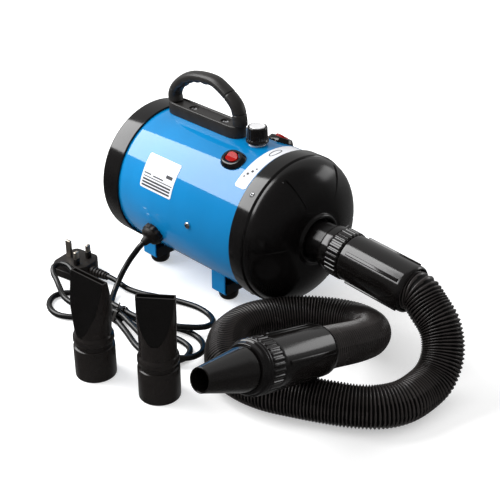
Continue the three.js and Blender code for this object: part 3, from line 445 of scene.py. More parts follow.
# The key soft box hangs alongside the body, its long edges parallel to the body axis, so that the
# shell mirrors it as a straight band. The side box stands low behind the hose.
KEY_ANGLE = math.radians(33.3)
KEY_DISTANCE = 1.2
KEY_SIZE = (1.7, 1.185)
KEY_CENTRE_X = -1250
KEY_RADIANCE = 7.5
SIDE_OUT = Vector((0.37, 0.9, 0.28)).normalized()
SIDE_DISTANCE = 1.3
SIDE_SIZE = (0.7, 0.35)
SIDE_RADIANCE = 2.5
CEILING_STRENGTH = 1.3
CEILING_SPREAD = math.radians(70)
CEILING_DOWN = Vector((-0.25, 0.25, -0.93))
BACKDROP_LIGHT = 0.5
ROOM_LIGHT = 0.14
BELOW_HORIZON = 0.4


def soft_box(name, target, out, distance, size, radiance):
    """A rectangular light that stands in the direction out from the target and faces it."""
    data = bpy.data.lights.new(name, "AREA")
    data.shape = "RECTANGLE"
    data.size, data.size_y = size
    data.energy = radiance * math.pi * size[0] * size[1]
    light = new_object(name, data)
    light.location = target + out * distance
    light.rotation_euler = out.to_track_quat("Z", "Y").to_euler()
    light.visible_camera = False


def studio_lights():
    key_out = Vector((0, -math.sin(KEY_ANGLE), math.cos(KEY_ANGLE)))
    soft_box("key_softbox", at(KEY_CENTRE_X, 0, AXIS_Z), key_out, KEY_DISTANCE, KEY_SIZE, KEY_RADIANCE)
    soft_box("side_softbox", at(0, 0, AXIS_Z), SIDE_OUT, SIDE_DISTANCE, SIDE_SIZE, SIDE_RADIANCE)


def ceiling_light():
    """A wide soft fill from above that the glossy pieces don't mirror."""
    data = bpy.data.lights.new("ceiling", "SUN")
    data.angle = CEILING_SPREAD
    data.energy = CEILING_STRENGTH
    ceiling = new_object("ceiling", data)
    ceiling.rotation_euler = CEILING_DOWN.to_track_quat("-Z", "Y").to_euler()
    ceiling.visible_glossy = False


def studio_world():
    """A pale backdrop behind the dryer and a dim room in front of it, both darker below the horizon."""
    world = bpy.data.worlds.new("studio")
    world.use_nodes = True
    nodes, links = world.node_tree.nodes, world.node_tree.links

    def smooth_step(source, given, wanted):
        step = nodes.new("ShaderNodeMapRange")
        step.interpolation_type = "SMOOTHSTEP"
        set_inputs(step, dict(zip(("From Min", "From Max", "To Min", "To Max"), (*given, *wanted))))
        links.new(source, step.inputs["Value"])
        return step.outputs["Result"]

    place = nodes.new("ShaderNodeTexCoord")
    facing = nodes.new("ShaderNodeVectorMath")
    facing.operation = "DOT_PRODUCT"
    facing.inputs[1].default_value = (math.sin(CAMERA_AZIMUTH), -math.cos(CAMERA_AZIMUTH), 0)
    links.new(place.outputs["Generated"], facing.inputs[0])
    height = nodes.new("ShaderNodeSeparateXYZ")
    links.new(place.outputs["Generated"], height.inputs["Vector"])
    strength = nodes.new("ShaderNodeMath")
    strength.operation = "MULTIPLY"
    sideways = smooth_step(facing.outputs["Value"], (-0.45, -0.05), (BACKDROP_LIGHT, ROOM_LIGHT))
    upright = smooth_step(height.outputs["Z"], (-0.3, 0.1), (BELOW_HORIZON, 1))
    links.new(sideways, strength.inputs[0])
    links.new(upright, strength.inputs[1])
    links.new(strength.outputs["Value"], nodes["Background"].inputs["Strength"])
    set_inputs(nodes["Background"], {"Color": (1, 1, 1, 1)})
    bpy.context.scene.world = world


FLOOR_HALF = 30000


def make_floor():
    corners = [(x * FLOOR_HALF, y * FLOOR_HALF, 0) for x, y in ((-1, -1), (1, -1), (1, 1), (-1, 1))]
    floor = mesh_piece("floor", corners, [(0, 1, 2, 3)])
    floor.data.materials.append(FLOOR)
    floor.visible_glossy = False


make_camera()
studio_lights()
ceiling_light()
studio_world()
bpy.context.scene.view_settings.view_transform = "Standard"
make_floor()


# ---- routes of the hose and the lead, in metres in the dryer's own axes ----
CORD_ROUTE = [
    (-0.142, -0.0731, 0.072), (-0.142, -0.084, 0.0671), (-0.142, -0.0941, 0.0626),
    (-0.144, -0.102, 0.057), (-0.148, -0.108, 0.048), (-0.152, -0.115, 0.037), (-0.153, -0.125, 0.025),
    (-0.152, -0.134, 0.014), (-0.148, -0.143, 0.0075), (-0.139, -0.154, 0.0046),
    (-0.12, -0.172, 0.0046), (-0.098, -0.1798, 0.0063), (-0.07, -0.187, 0.0046), (-0.04, -0.196, 0.004),
    (-0.012, -0.198, 0.004), (0.008, -0.19, 0.004), (0.016, -0.174, 0.004), (0.007, -0.157, 0.004),
    (-0.014, -0.153, 0.004), (-0.042, -0.16, 0.004), (-0.07, -0.168, 0.0046), (-0.098, -0.172, 0.0063),
    (-0.118, -0.186, 0.0046), (-0.134, -0.206, 0.004), (-0.158, -0.221, 0.004), (-0.182, -0.216, 0.004),
    (-0.195, -0.199, 0.004), (-0.188, -0.181, 0.004), (-0.164, -0.17, 0.004), (-0.135, -0.164, 0.008),
    (-0.118, -0.163, 0.0065), (-0.098, -0.1642, 0.0063), (-0.074, -0.155, 0.0046),
    (-0.046, -0.143, 0.004), (-0.018, -0.134, 0.004), (0.006, -0.138, 0.0046), (0.023, -0.153, 0.007),
    (0.026, -0.173, 0.01), (0.012, -0.19, 0.012), (-0.014, -0.193, 0.012), (-0.046, -0.185, 0.012),
    (-0.072, -0.179, 0.012), (-0.098, -0.1759, 0.0135), (-0.122, -0.184, 0.013), (-0.146, -0.2, 0.0128),
    (-0.172, -0.2, 0.0128), (-0.192, -0.192, 0.0135), (-0.207, -0.186, 0.016), (-0.219, -0.182, 0.02),
    (-0.226, -0.1755, 0.0235), (-0.224, -0.1675, 0.025), (-0.213, -0.1635, 0.025),
    (-0.198, -0.166, 0.0215), (-0.182, -0.168, 0.0158), (-0.158, -0.169, 0.013),
    (-0.128, -0.168, 0.0126), (-0.098, -0.1681, 0.0135), (-0.07, -0.164, 0.0126),
    (-0.042, -0.152, 0.0126), (-0.02, -0.138, 0.0126), (-0.009, -0.12, 0.01), (-0.014, -0.103, 0.006),
    (-0.03, -0.093, 0.004), (-0.052, -0.091, 0.004), (-0.076, -0.097, 0.004), (-0.104, -0.109, 0.004),
    (-0.128, -0.12, 0.004), (-0.148, -0.125, 0.005), (-0.164, -0.127, 0.0086),
    (-0.175, -0.1292, 0.0102), (-0.1849, -0.1313, 0.0102), (-0.1923, -0.1328, 0.0102),
]
HOSE_ROUTE = [
    (0.219, -0.003, 0.086), (0.235, -0.006, 0.075), (0.247, -0.013, 0.06), (0.254, -0.023, 0.046),
    (0.257, -0.038, 0.033), (0.256, -0.058, 0.026), (0.253, -0.084, 0.024), (0.242, -0.106, 0.0236),
    (0.224, -0.123, 0.0236), (0.2, -0.138, 0.0236), (0.17, -0.154, 0.0236), (0.142, -0.167, 0.0236),
    (0.112, -0.173, 0.0236), (0.082, -0.169, 0.0236), (0.059, -0.151, 0.0236), (0.04, -0.124, 0.024),
    (0.038, -0.094, 0.0255), (0.05, -0.064, 0.0255), (0.071, -0.038, 0.0265), (0.099, -0.0185, 0.027),
    (0.126, -0.01, 0.0285), (0.15, -0.016, 0.033), (0.165, -0.036, 0.041), (0.17, -0.062, 0.049),
]
KNURL_START = 28
SHOULDER_START = 17
KNURL_END = 46
SLEEVE_END = 134
HOSE_INSIDE = KNURL_END + 36


def smooth_route(points, spacing):
    """Evenly spaced points, in metres, on a centripetal curve through the given ones."""
    first = 2 * points[0] - points[1]
    last = 2 * points[-1] - points[-2]
    knots = [first, *points, last]
    dense = []
    for i in range(1, len(knots) - 2):
        p0, p1, p2, p3 = knots[i - 1 : i + 3]
        d0, d1, d2 = (math.sqrt((b - a).length) for a, b in ((p0, p1), (p1, p2), (p2, p3)))
        start = ((p1 - p0) / d0 - (p2 - p0) / (d0 + d1) + (p2 - p1) / d1) * d1
        end = ((p2 - p1) / d1 - (p3 - p1) / (d1 + d2) + (p3 - p2) / d2) * d1
        for k in range(24):
            t = k / 24
            dense.append(
                p1 * (2 * t**3 - 3 * t**2 + 1) + start * (t**3 - 2 * t**2 + t)
                + p2 * (3 * t**2 - 2 * t**3) + end * (t**3 - t**2)
            )
    dense.append(points[-1])
    return respace(dense, spacing)


def respace(dense, spacing):
    total = sum((b - a).length for a, b in pairwise(dense))
    count = max(2, round(total / spacing))
    route, walked, goal = [dense[0]], 0.0, total / count
    for a, b in pairwise(dense):
        step = (b - a).length
        while step > 0 and walked + step >= goal * len(route) - 1e-9 and len(route) < count:
            route.append(a.lerp(b, (goal * len(route) - walked) / step))
        walked += step
    route.append(dense[-1])
    return route


def heading(route, i):
    """Which way a route runs at its i-th point."""
    return (route[min(i + 1, len(route) - 1)] - route[max(i - 1, 0)]).normalized()


# ---- mains lead ----
LEAD_DIAMETER = 0.007


def power_lead():
    route = smooth_route([ORIGIN + Vector(p) for p in CORD_ROUTE], 0.003)
    curve = bpy.data.curves.new("mains_lead", "CURVE")
    curve.dimensions = "3D"
    curve.bevel_depth = LEAD_DIAMETER / 2
    curve.bevel_resolution = 5
    curve.use_fill_caps = True
    spline = curve.splines.new("POLY")
    spline.points.add(len(route) - 1)
    for point, place in zip(spline.points, route):
        point.co = (*place, 1)
    return dress(new_object("mains_lead", curve), LEAD_BLACK, "power_cord"), route


# ---- hose ----
HOSE_DIAMETER = 0.046
RIDGE_PITCH = 3.5
RIDGE_DEPTH = 2.3
RIDGE_STEPS = 8
HOSE_SIDES = 56


def air_hose():
    """A tube with a spiral ridge; its valleys are painted darker as shade and its crests lighter as a painted
    highlight.
    """
    points = [MACHINE_PIVOT + MACHINE_AXIS * MM * a for a in (HOSE_INSIDE, SLEEVE_END, SLEEVE_END + 9)]
    points += [ORIGIN + Vector(p) for p in HOSE_ROUTE]
    points += [HAND_ORIGIN + HAND_AXIS * MM * a for a in (SLEEVE_END + 22, SLEEVE_END, HOSE_INSIDE)]
    route = smooth_route(points, RIDGE_PITCH / RIDGE_STEPS * MM)
    side = Vector((0, 1, 0))
    rings = []
    valleys = []
    for i, place in enumerate(route):
        ahead = heading(route, i)
        side = (side - ahead * side.dot(ahead)).normalized()
        up = ahead.cross(side)
        ring = []
        for angle in even_angles(HOSE_SIDES):
            phase = 2 * math.pi * i / RIDGE_STEPS - angle
            sunk = (0.5 - 0.5 * math.cos(phase)) ** 0.8
            valleys.append(sunk > 0.5)
            radius = HOSE_DIAMETER / 2 / MM - RIDGE_DEPTH * sunk
            offset = side * math.cos(angle) + up * math.sin(angle)
            ring.append(place / MM + offset * radius)
        rings.append(ring)
    hose = loft("air_hose", rings, sharp=180)
    dress(hose, HOSE_CREST_HIGHLIGHT, "hose")
    # The valley faces take the near-black painted shade.
    repaint(hose, HOSE_VALLEY_SHADE, lambda face: valleys[face.index])
    return hose, route


lead, lead_route = power_lead()
hose, hose_route = air_hose()


# ---- blower body ----
SHELL_WALL = 1.2
RING_BORE = 84


def body_shell():
    rear = REAR_END_X + REAR_LENGTH * 0.4
    front = FRONT_LENGTH * 0.6
    inside = SHELL_R - SHELL_WALL
    outline = [(rear, inside), (rear, SHELL_R), (front, SHELL_R), (front, inside)]
    dress(lathe("shell", soften(outline, 0.3), BODY_PLACE, 180), BLUE, "body_shell")


def rear_ring():
    seam = REAR_END_X + REAR_LENGTH
    outline = [
        (seam, SHELL_R + 0.3), (seam, RING_R - 0.8), (seam - 0.8, RING_R),
        *arc(REAR_END_X + 3, RING_R - 3, 3, 3, 90, 180, 10),
        (REAR_END_X, 74), (REAR_END_X + 11, 74), (REAR_END_X + 11, SHELL_R + 0.3),
    ]
    dress(lathe("rear_cap_ring", soften(outline, 0.5), BODY_PLACE, 180), GLOSS_BLACK, "rear_ring")


RING_SCREW_X = 12
RING_SCREW_ANGLES = (45, -45, 135, -135)
SIDE_SCREW_X = -71
SIDE_SCREW_ANGLE = 88
SCREW_SOCKET = [(0.6, 0), (0.6, 3.4), (8, 3.4), (8, 0)]


def front_ring():
    step = FRONT_LENGTH * 0.6 + 0.3
    outline = [
        (0, SHELL_R + 0.3), (0, RING_R - 0.8), (0.8, RING_R), (FRONT_LENGTH - 2, RING_R),
        (FRONT_LENGTH, RING_R - 2), (FRONT_LENGTH, RING_BORE), (step, RING_BORE), (step, SHELL_R + 0.3),
    ]
    ring = lathe("front_cap_ring", soften(outline, 0.6), BODY_PLACE, 180)
    sockets = [
        lathe("socket", SCREW_SOCKET, on_shell(RING_SCREW_X, angle) @ UPRIGHT, 32, False)
        for angle in RING_SCREW_ANGLES
    ]
    dress(carve(ring, *sockets), GLOSS_BLACK, "front_ring")


GROOVE_ANGLES = [math.radians(a) for a in (-94, -34, 24, 85, 146, 206)]
GROOVE_HALF = math.radians(1.8)
GROOVE_DEPTH = 2.6


def dome_angles():
    """Turning steps for the dome, close together where its radial grooves lie."""
    angles = {round(math.radians(a), 5) for a in range(-100, 260, 3)}
    for middle in GROOVE_ANGLES:
        angles = {a for a in angles if abs(a - middle) > 2 * GROOVE_HALF}
        angles |= {round(middle + GROOVE_HALF * k, 5) for k in (-1.6, -1, -0.6, 0, 0.6, 1, 1.6)}
    return sorted(angles)


def dome_groove(angle, _, radius):
    """The grooves run from near the ring to halfway in."""
    if not 50 < radius < 85:
        return 0
    nearest = min(abs(angle - middle) for middle in GROOVE_ANGLES)
    return -GROOVE_DEPTH if nearest < 0.7 * GROOVE_HALF else 0


def front_dome():
    rise, drop = COLLAR_END_X - 4 - DOME_START_X, RING_R - 2 - COLLAR_R
    top = COLLAR_END_X - 4
    outline = [
        *arc(DOME_START_X, COLLAR_R, rise, drop, 90, 8, 40),
        *soften([
            (top - 0.4, COLLAR_R + 5), (top - 0.3, COLLAR_R + 1.5), (top + 3, COLLAR_R + 0.5),
            (top + 4, COLLAR_R - 1), (top + 3, COLLAR_R - 3.2), (top - 4, COLLAR_R - 3.6), (top - 4, 24),
            (top - 8, 24),
        ], 0.6, False),
        (top - 8, COLLAR_R - 2.4), (DOME_START_X + 8, 80), (DOME_START_X - 6, 81),
        (DOME_START_X - 6, RING_BORE - 0.3), (DOME_START_X, RING_BORE - 0.3),
    ]
    dome = lathe("dome", outline, BODY_PLACE, ripple=dome_groove, angles=dome_angles())
    dress(dome, DOME_BLACK, "front_dome")


def outlet_tube():
    back, front = (own_x(corner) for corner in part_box("outlet_tube"))
    radius = 23.5
    outline = [
        (back, radius - 2), (back, radius + 3), (back + 5, radius + 3), (back + 5, radius), (front, radius),
        (front, radius - 2),
    ]
    dress(lathe("outlet", soften(outline, 0.5), BODY_PLACE, 96), DOME_BLACK, "outlet_tube")


def cross_cut(width, depth, top, place):
    """Two crossed bars, the recess of a screw."""
    slot = width * 0.42
    bars = [(width, slot, 2 * depth), (slot, width, 2 * depth)]
    return [rounded_box("recess", size, place @ shift(0, 0, top), 0.15, 1) for size in bars]


def screw(name, node, place, radius, height, base):
    """A domed head whose rim is base above the place, with its recess painted dark as shade."""
    outline = [
        (base - 2, 0), (base - 2, radius * 0.6), (base, radius * 0.6), (base, radius),
        (base + height * 0.35, radius),
    ]
    outline += arc(base + height * 0.35, 0, height * 0.65, radius * 0.98, 88, 0, 8)
    head = lathe(name, outline, place @ UPRIGHT, 40, False)
    head = carve(head, *cross_cut(radius, height * 0.8, base + height, place))
    dress(head, CHROME, node)
    to_local = place.inverted()

    def in_shaded_recess(face):
        spot = to_local @ face.center / MM
        return spot.xy.length < radius * 0.5 and spot.z < base + height * 0.62

    # The chrome faces inside the recess are painted matt black as painted shade.
    repaint(head, MATT_BLACK, in_shaded_recess)


def screws():
    for i, angle in enumerate(RING_SCREW_ANGLES, 1):
        screw(f"ring_screw_head_{i}", f"ring_screw_{i}", on_shell(RING_SCREW_X, angle), 3.6, 2.6, 0.9)
    for i, side in enumerate((1, -1), 1):
        place = on_shell(SIDE_SCREW_X, side * SIDE_SCREW_ANGLE)
        screw(f"side_screw_head_{i}", f"side_screw_{i}", place, 4.2, 2.8, 0.3)
    for i in (1, 2):
        screw(f"handle_screw_head_{i}", f"handle_screw_{i}", under(f"handle_screw_{i}"), 4.3, 2.6, 202.3)


# ---- rear intake ----
def intake():
    face = REAR_END_X - 0.3
    outline = [
        (face - 3, 0), (face - 2, 60), (face, 70.6), (face + 9, 70.6), (face + 9, 73.6), (face, 73.6),
        (face, 79), (face - 1.5, 80.5), (face - 4, 76), (face - 5, 60), (face - 6, 0),
    ]
    cover = lathe("rear_grille", soften(outline, 0.8, False), BODY_PLACE, 144, False)
    slots = []
    for count, inner, outer in ((14, 42, 66), (7, 18, 36)):
        for k in range(count):
            place = BODY_PLACE @ turn(360 * (k + 0.5) / count) @ shift(face - 3, (inner + outer) / 2, 0)
            slots.append(rounded_box("slot", (14, outer - inner, 5), place, 2.2, 4))
    dress(carve(cover, *slots), MATT_BLACK, "intake_cover")
    pad = soften([(face + 0.3, 0), (face + 0.3, 70.2), (face + 8, 70.2), (face + 8, 0)], 1, False)
    dress(lathe("foam_pad", pad, BODY_PLACE, 96, False), FOAM, "filter_foam")


# ---- controls ----
def knob():
    place = on_shell(CONTROL_X, 0) @ UPRIGHT
    bottom, top = 3, 22
    outline = [
        (bottom, 0), (bottom, 13.2), (bottom + 0.6, 13.6), (bottom + 2.2, 13.4), (bottom + 4, 12.5),
        (top - 1.6, 11.8), (top - 0.4, 11.2), (top, 10.7), (top, 9.9), (top - 0.9, 9.7), (top - 0.9, 0),
    ]

    def flutes(angle, height, radius):
        if not bottom + 4 < height < top - 1 or radius < 9:
            return 0
        return -0.35 * (0.5 + 0.5 * math.cos(24 * angle)) ** 2

    dress(lathe("knob", soften(outline, 0.35, False), place, 192, False, flutes), SLEEVE_BLACK, "speed_knob")
    cap = [
        (top - 0.6, 0), (top - 0.6, 9.3), (top + 0.3, 9.3), (top + 0.8, 8.7), (top + 0.7, 7.9),
        (top + 0.4, 7.6), (top + 0.4, 0),
    ]
    dress(lathe("knob_disc", soften(cap, 0.25, False), place, 96, False), SILVER, "knob_cap")
    washer = [(-0.6, 4.5), (-0.6, 10.5), (1.2, 10.5), (1.9, 8.6), (2.5, 6.4), (2.5, 4.5)]
    dress(lathe("dial_washer", soften(washer, 0.25), place, 96), SILVER, "knob_washer")


def switch_bezel(side, name):
    wall = ((-4.5, -1), (0.6, -1), (1.6, -0.6), (3.2, 0.6), (4.6, 1.3), (5.3, 1.9), (5.5, 2.6))
    well = ((5.5, 0.4), (5.2, 0.1), (4.6, 0), (-9, -0.4))
    rings = [flat_ring(oval(15.4 - inset, 12.6 - inset), z) for z, inset in wall]
    rings += [flat_ring(oval(9.5 + grow, 7.9 + grow), z) for z, grow in well]
    piece = loft(f"{name}_surround", rings, on_shell(CONTROL_X, side * SWITCH_ANGLE), sharp=40)
    dress(piece, GLOSS_BLACK, f"switch_bezel_{name}")


ROCKER_TILT = 9


def rocker(side, name):
    """A V-topped oval key that leans away from the knob."""
    half_x, half_y = 8.5, 6.2
    rings = [flat_ring(oval(half_x * 0.8, half_y * 0.78), -6)]
    rings.append(flat_ring(oval(half_x * 0.99, half_y * 0.99), -0.5))
    rim = ((1, 1.0), (0.985, 0.35), (0.95, 0.1))
    lands = ((0.9 - 0.11 * k, 0) for k in range(9))
    for scale, drop in (*rim, *lands):
        line = oval(half_x * scale, half_y * scale)
        rings.append([(x, y, 1.25 + 2.4 * math.hypot(y / half_y, 0.16) - drop) for x, y in line])
    place = on_shell(CONTROL_X, side * SWITCH_ANGLE, 4) @ turn(side * ROCKER_TILT)
    piece = loft(f"{name}_key", rings, place, sharp=50)
    dress(piece, RED, f"rocker_{name}")


# ---- printed films on the shell ----
FILM_THICKNESS = 0.25
TOUCHING = 0.0001


def film(name, x_range, angle_range, height, round_off=0):
    """A thin patch that follows the shell at that height; round_off softens its corners."""
    x0, x1 = x_range
    a0, a1 = (math.radians(a) * SHELL_R for a in angle_range)
    outline = [(x0, a0), (x1, a0), (x1, a1), (x0, a1)]
    if round_off:
        outline = soften(outline, round_off, True, 6)
    columns = max(2, round((a1 - a0) / 2))
    rings = []
    for k in range(columns + 1):
        s = a0 + (a1 - a0) * k / columns
        edges = zip(outline, outline[1:] + outline[:1])
        met = [x for start, end in edges for x in crossings(*start, *end, s)]
        left, right = (pick(met, default=(x0 + x1) / 2) for pick in (min, max))
        top, under_side = SHELL_R + height, SHELL_R + height - FILM_THICKNESS
        corners = ((left, under_side), (right, under_side), (right, top), (left, top))
        rings.append([around(x, s / SHELL_R, radius) for x, radius in corners])
    return loft(name, rings, BODY_PLACE, sharp=40)


def crossings(x, a, x2, a2, s):
    """Where one side of an outline meets the line at height s."""
    low, high = min(a, a2), max(a, a2)
    if not low - TOUCHING <= s <= high + TOUCHING:
        return []
    if high - low < TOUCHING:
        return [x, x2]
    return [x + (x2 - x) * (s - a) / (a2 - a)]


def films():
    dress(film("control_film", (-20, -2.5), (-22, 44), 0.4, 2.5), WHITE_FILM, "scale_strip")
    dress(film("data_label", (-161, -105), (47, 75), 0.4, 1.5), LABEL, "rating_label")
    bars = [
        (-14.8, -11.6, 30.6, 32.6), (-11.4, -8.2, 27.4, 29.4), (-16.4, -14.2, 33.8, 35.2),
        (-8.4, -6.4, 24.6, 26), (-158, -146, 62.6, 63.6), (-142, -124, 63.0, 64.0),
        (-158, -107, 65.2, 65.9), (-121, -110, 58.2, 60.8),
    ]
    bars += [(-158, -108, 67.2 + 2.4 * k, 68.6 + 2.4 * k) for k in range(3)]
    pieces = [film("bar", (x0, x1), (a0, a1), 0.55) for x0, x1, a0, a1 in bars]
    pieces.append(shell_loop("dial_arc", -11.5, 2.5, 3.6, 9.5, 0.6))
    attach(merge("printing", *pieces), "dryer", INK)


def shell_loop(name, x, angle, half_x, half_s, half_line):
    """A thin printed oval line on the shell."""
    rings = []
    section = ((-half_line, 0.4), (half_line, 0.4), (half_line, 0.55), (-half_line, 0.55))
    for c, s in oval(1, 1, 2, 72):
        ring = []
        for grow, height in section:
            spot = math.radians(angle) + (half_s + grow) * s / SHELL_R
            ring.append(around(x + (half_x + grow) * c, spot, SHELL_R + height))
        rings.append(ring)
    return loft(name, rings, BODY_PLACE, hollow=True)


# ---- carry handle ----
HANDLE_HALF, HANDLE_HALF_WIDTH, _ = half_size("handle_base")
HANDLE_TOP_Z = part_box("handle_base")[1].z / MM
HANDLE_MID = Matrix.Translation((centre("handle_base").x, ORIGIN.y, 0))


def boat(half_length, half_width, steps=14):
    """A long outline with rounded, narrowing ends."""
    nose = half_width * 1.6
    quarter = []
    for k in range(steps + 1):
        t = k / steps
        x = half_length - nose * t * t
        y = half_width * (2 * t - t * t)
        quarter.append((x, y))
    left = [(-x, y) for x, y in reversed(quarter)]
    lower = [(x, -y) for x, y in reversed([*quarter, *left])]
    return [*quarter, *left, *lower[1:-1]]


def handle_base():
    half, width, top = HANDLE_HALF, HANDLE_HALF_WIDTH, HANDLE_TOP_Z
    seat = [(x, y, AXIS_Z + math.sqrt((SHELL_R + 0.3) ** 2 - y * y)) for x, y in boat(half, width)]
    edge = ((3, 0), (1, 0.5), (0.2, 1.4), (0, 2.2), (0.3, 3), (1.6, 3.8))
    rings = [flat_ring(boat(half - inset, width - inset), top - drop) for drop, inset in edge]
    base = loft("handle_seat", [seat, *rings], HANDLE_MID, sharp=45)
    cone = [(top - 5, 0), (top - 5, 5), (top + 1, 7), (top + 1, 0)]
    pits = [lathe("pit", cone, under(f"handle_screw_{i}") @ UPRIGHT, 48, False) for i in (1, 2)]
    dress(carve(base, *pits), SATIN_BLACK, "handle_base")


GRIP_SEAMS = (0.1, 0.76, 0.92)
GRIP_HALF_WIDTH = 9
GRIP_HALF_THICKNESS = 5.7
# The finger waves under the grip; these three are shares of its length.
FINGERS_START, FINGERS_END, FINGER_PITCH = 0.16, 0.56, 0.1
FINGER_DEPTH = 1.6


def handle_grip():
    half, foot = HANDLE_HALF, HANDLE_TOP_Z + 0.3
    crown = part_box("handle_grip")[1].z / MM - GRIP_HALF_THICKNESS
    route = [
        (-half + 8, foot), (-half + 6.5, foot + 7), (-half + 12.5, crown - 24), (-half + 37, crown - 6),
        (-half + 75, crown), (half - 38, crown - 3.5), (half - 11, crown - 21), (half - 6, foot + 5),
        (half - 6, foot),
    ]
    path = smooth_route([Vector((x, 0, z)) * MM for x, z in route], 0.8 * MM)
    rings = []
    last = len(path) - 1
    for i, place in enumerate(path):
        t = i / last
        ahead = heading(path, i)
        if not 0.01 <= t <= 0.99:
            ahead = Vector((0, 0, 1 if t < 0.5 else -1))
        out = ahead.cross(Vector((0, 1, 0))).normalized()
        thick = GRIP_HALF_THICKNESS + 2 * abs(2 * t - 1) ** 3
        seam = 0.7 if any(abs(t - s) < 0.004 for s in GRIP_SEAMS) else 0
        ring = []
        for a, b in oval(GRIP_HALF_WIDTH - seam, thick - seam, 2.5, 48):
            if b < 0 and FINGERS_START < t < FINGERS_END:
                wave = 0.5 - 0.5 * math.cos(2 * math.pi * (t - FINGERS_START) / FINGER_PITCH)
                b -= FINGER_DEPTH * wave * (-b / thick)
            ridge = 0.9 * max(0, b / thick) ** 6
            ring.append(place / MM + Vector((0, 1, 0)) * a + out * (b + ridge))
        rings.append(ring)
    dress(loft("handle_arch", rings, HANDLE_MID, sharp=50), SATIN_BLACK, "handle_grip")


# ---- feet ----
def feet():
    for end in ("front", "rear"):
        node = f"foot_bracket_{end}"
        half_length, half_width, _ = half_size(node)
        place = Matrix.Translation((centre(node).x, ORIGIN.y, 0))
        strap_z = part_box(node)[0].z / MM
        tab_top = AXIS_Z - math.sqrt(SHELL_R**2 - half_width**2) + 1
        lines = []
        for inset, bend in ((0, 3), (1.6, 1.8)):
            side = half_width - inset
            corners = [(-side, tab_top), (-side, strap_z + inset), (side, strap_z + inset), (side, tab_top)]
            lines.append(soften(corners, bend, False, 6))
        ends = (-half_length, half_length)
        rings = [[(x, *outer) for x in ends] + [(-x, *inner) for x in ends] for outer, inner in zip(*lines)]
        dress(loft(f"{end}_strap", rings, place), BLUE, node)
        saddle(end, place)
    outline = [(0, 0), (0, 8.6), (0.6, 9.6), (2.4, 11.2), (5, 12.1), (11, 12.5), (12, 12.1), (12, 0)]
    for i in range(1, 5):
        node = f"rubber_foot_{i}"
        foot = lathe(f"foot_{i}", soften(outline, 0.5, False), under(node) @ UPRIGHT, 64, False)
        dress(foot, RUBBER, node)


def saddle(end, place):
    """The rubber block between a strap and the shell, with lips down over the strap's long edges. Its dark rubber
    stands in for the shade inside the bracket, as painted shade.
    """
    node = f"foot_saddle_{end}"
    half_x, half_y, _ = half_size(node)
    bottom, top = (corner.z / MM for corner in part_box(node))
    seat_x = half_size(f"foot_bracket_{end}")[0] + 0.2
    seat_z = bottom + 1.9
    rings = []
    steps = 40
    for k in range(steps + 1):
        y = -half_y + 2 * half_y * k / steps
        roof = min(top, AXIS_Z - math.sqrt((SHELL_R + 0.3) ** 2 - y * y))
        right = [(seat_x, seat_z), (seat_x, bottom), (half_x, bottom), (half_x, roof)]
        left = [(-x, z) for x, z in reversed(right)]
        rings.append([(x, y, z) for x, z in soften([*right, *left], 0.5)])
    dress(loft(f"{end}_saddle", rings, place), RUBBER, node)


# ---- gland, plug and tie on the lead ----
GLAND_X = -142
GLAND_ANGLE = 114


def gland():
    outline = [
        (-2, 0), (-2, 13.6), (1, 14.2), (4.5, 14.2), (5.5, 13.2), (8, 12.8), (10.5, 11), (12.2, 7.4),
        (13, 6.2), (17, 5.2), (20, 4.5), (20, 3.7), (9, 3.7), (9, 0),
    ]

    def nut(angle, height, radius):
        if height > 5 or radius < 10:
            return 0
        return 0.5 * math.cos(12 * angle)

    place = on_shell(GLAND_X, GLAND_ANGLE, 1) @ UPRIGHT
    piece = lathe("lead_gland", soften(outline, 0.6, False), place, 144, False, nut)
    return dress(piece, MATT_BLACK, "cord_gland")


PLUG_PLACE = Matrix.Translation(at(-226, -140, 0.2)) @ turn(12, "Z")
PLUG_HALF = 23
PLUG_THICKNESS = 20
# Each pin's middle (x, y), its size (x, y) and how far it stands out.
PLUG_PINS = {
    "plug_pin_earth": (-13, 0, 8, 4, 22.7),
    "plug_pin_live": (9, -11, 4, 6.4, 17.7),
    "plug_pin_neutral": (9, 11, 4, 6.4, 17.7),
}


def plug():
    half = PLUG_HALF
    corners = [
        (-half + 4, -half), (half - 9, -half), (half, -9), (half, 9), (half - 9, half), (-half + 4, half),
        (-half, half - 4), (-half, -half + 4),
    ]
    rings = []
    for z, inset in (
        (0, 2.2), (0.6, 1), (2, 0.2), (11, 0), (11.4, 0.5), (12, 0.5), (12.4, 0), (17.5, 0),
        (19.4, 0.8), (PLUG_THICKNESS, 2),
    ):
        scale = (half - inset) / half
        rings.append(flat_ring(soften([(x * scale, y * scale) for x, y in corners], 3, True, 4), z))
    slab = loft("slab", rings, PLUG_PLACE, sharp=40)
    tail_place = PLUG_PLACE @ shift(half - 4, 0, PLUG_THICKNESS / 2)
    tail = [(0, 0), (0, 6.6), (5, 6.6)]
    for k in range(5):
        start = 6 + 4.4 * k
        radius = 6.5 - 0.3 * k
        waist = radius - 1.5
        tail += [(start, radius), (start + 2.4, radius), (start + 2.8, waist), (start + 4, waist)]
    tail += [(29.6, 4.9), (30, 4.4), (30, 3.6), (14, 3.6), (14, 0)]
    relief = lathe("relief", soften(tail, 0.3, False), tail_place, 48, False)
    pieces = [dress(merge("mains_plug", slab, relief), PLUG_BLACK, "plug_body")]
    for node, (x, y, size_x, size_y, height) in PLUG_PINS.items():
        place = PLUG_PLACE @ shift(x, y, PLUG_THICKNESS + height / 2 - 1)
        pin = rounded_box(node.replace("plug_pin", "pin"), (size_x, size_y, height + 2), place, 0.7, 3)
        pieces.append(dress(pin, PIN_METAL, node))
        if node != "plug_pin_earth":
            pieces.append(pin_boot(node, x, y, size_x, size_y))
    return pieces


BOOT_HEIGHT = 9


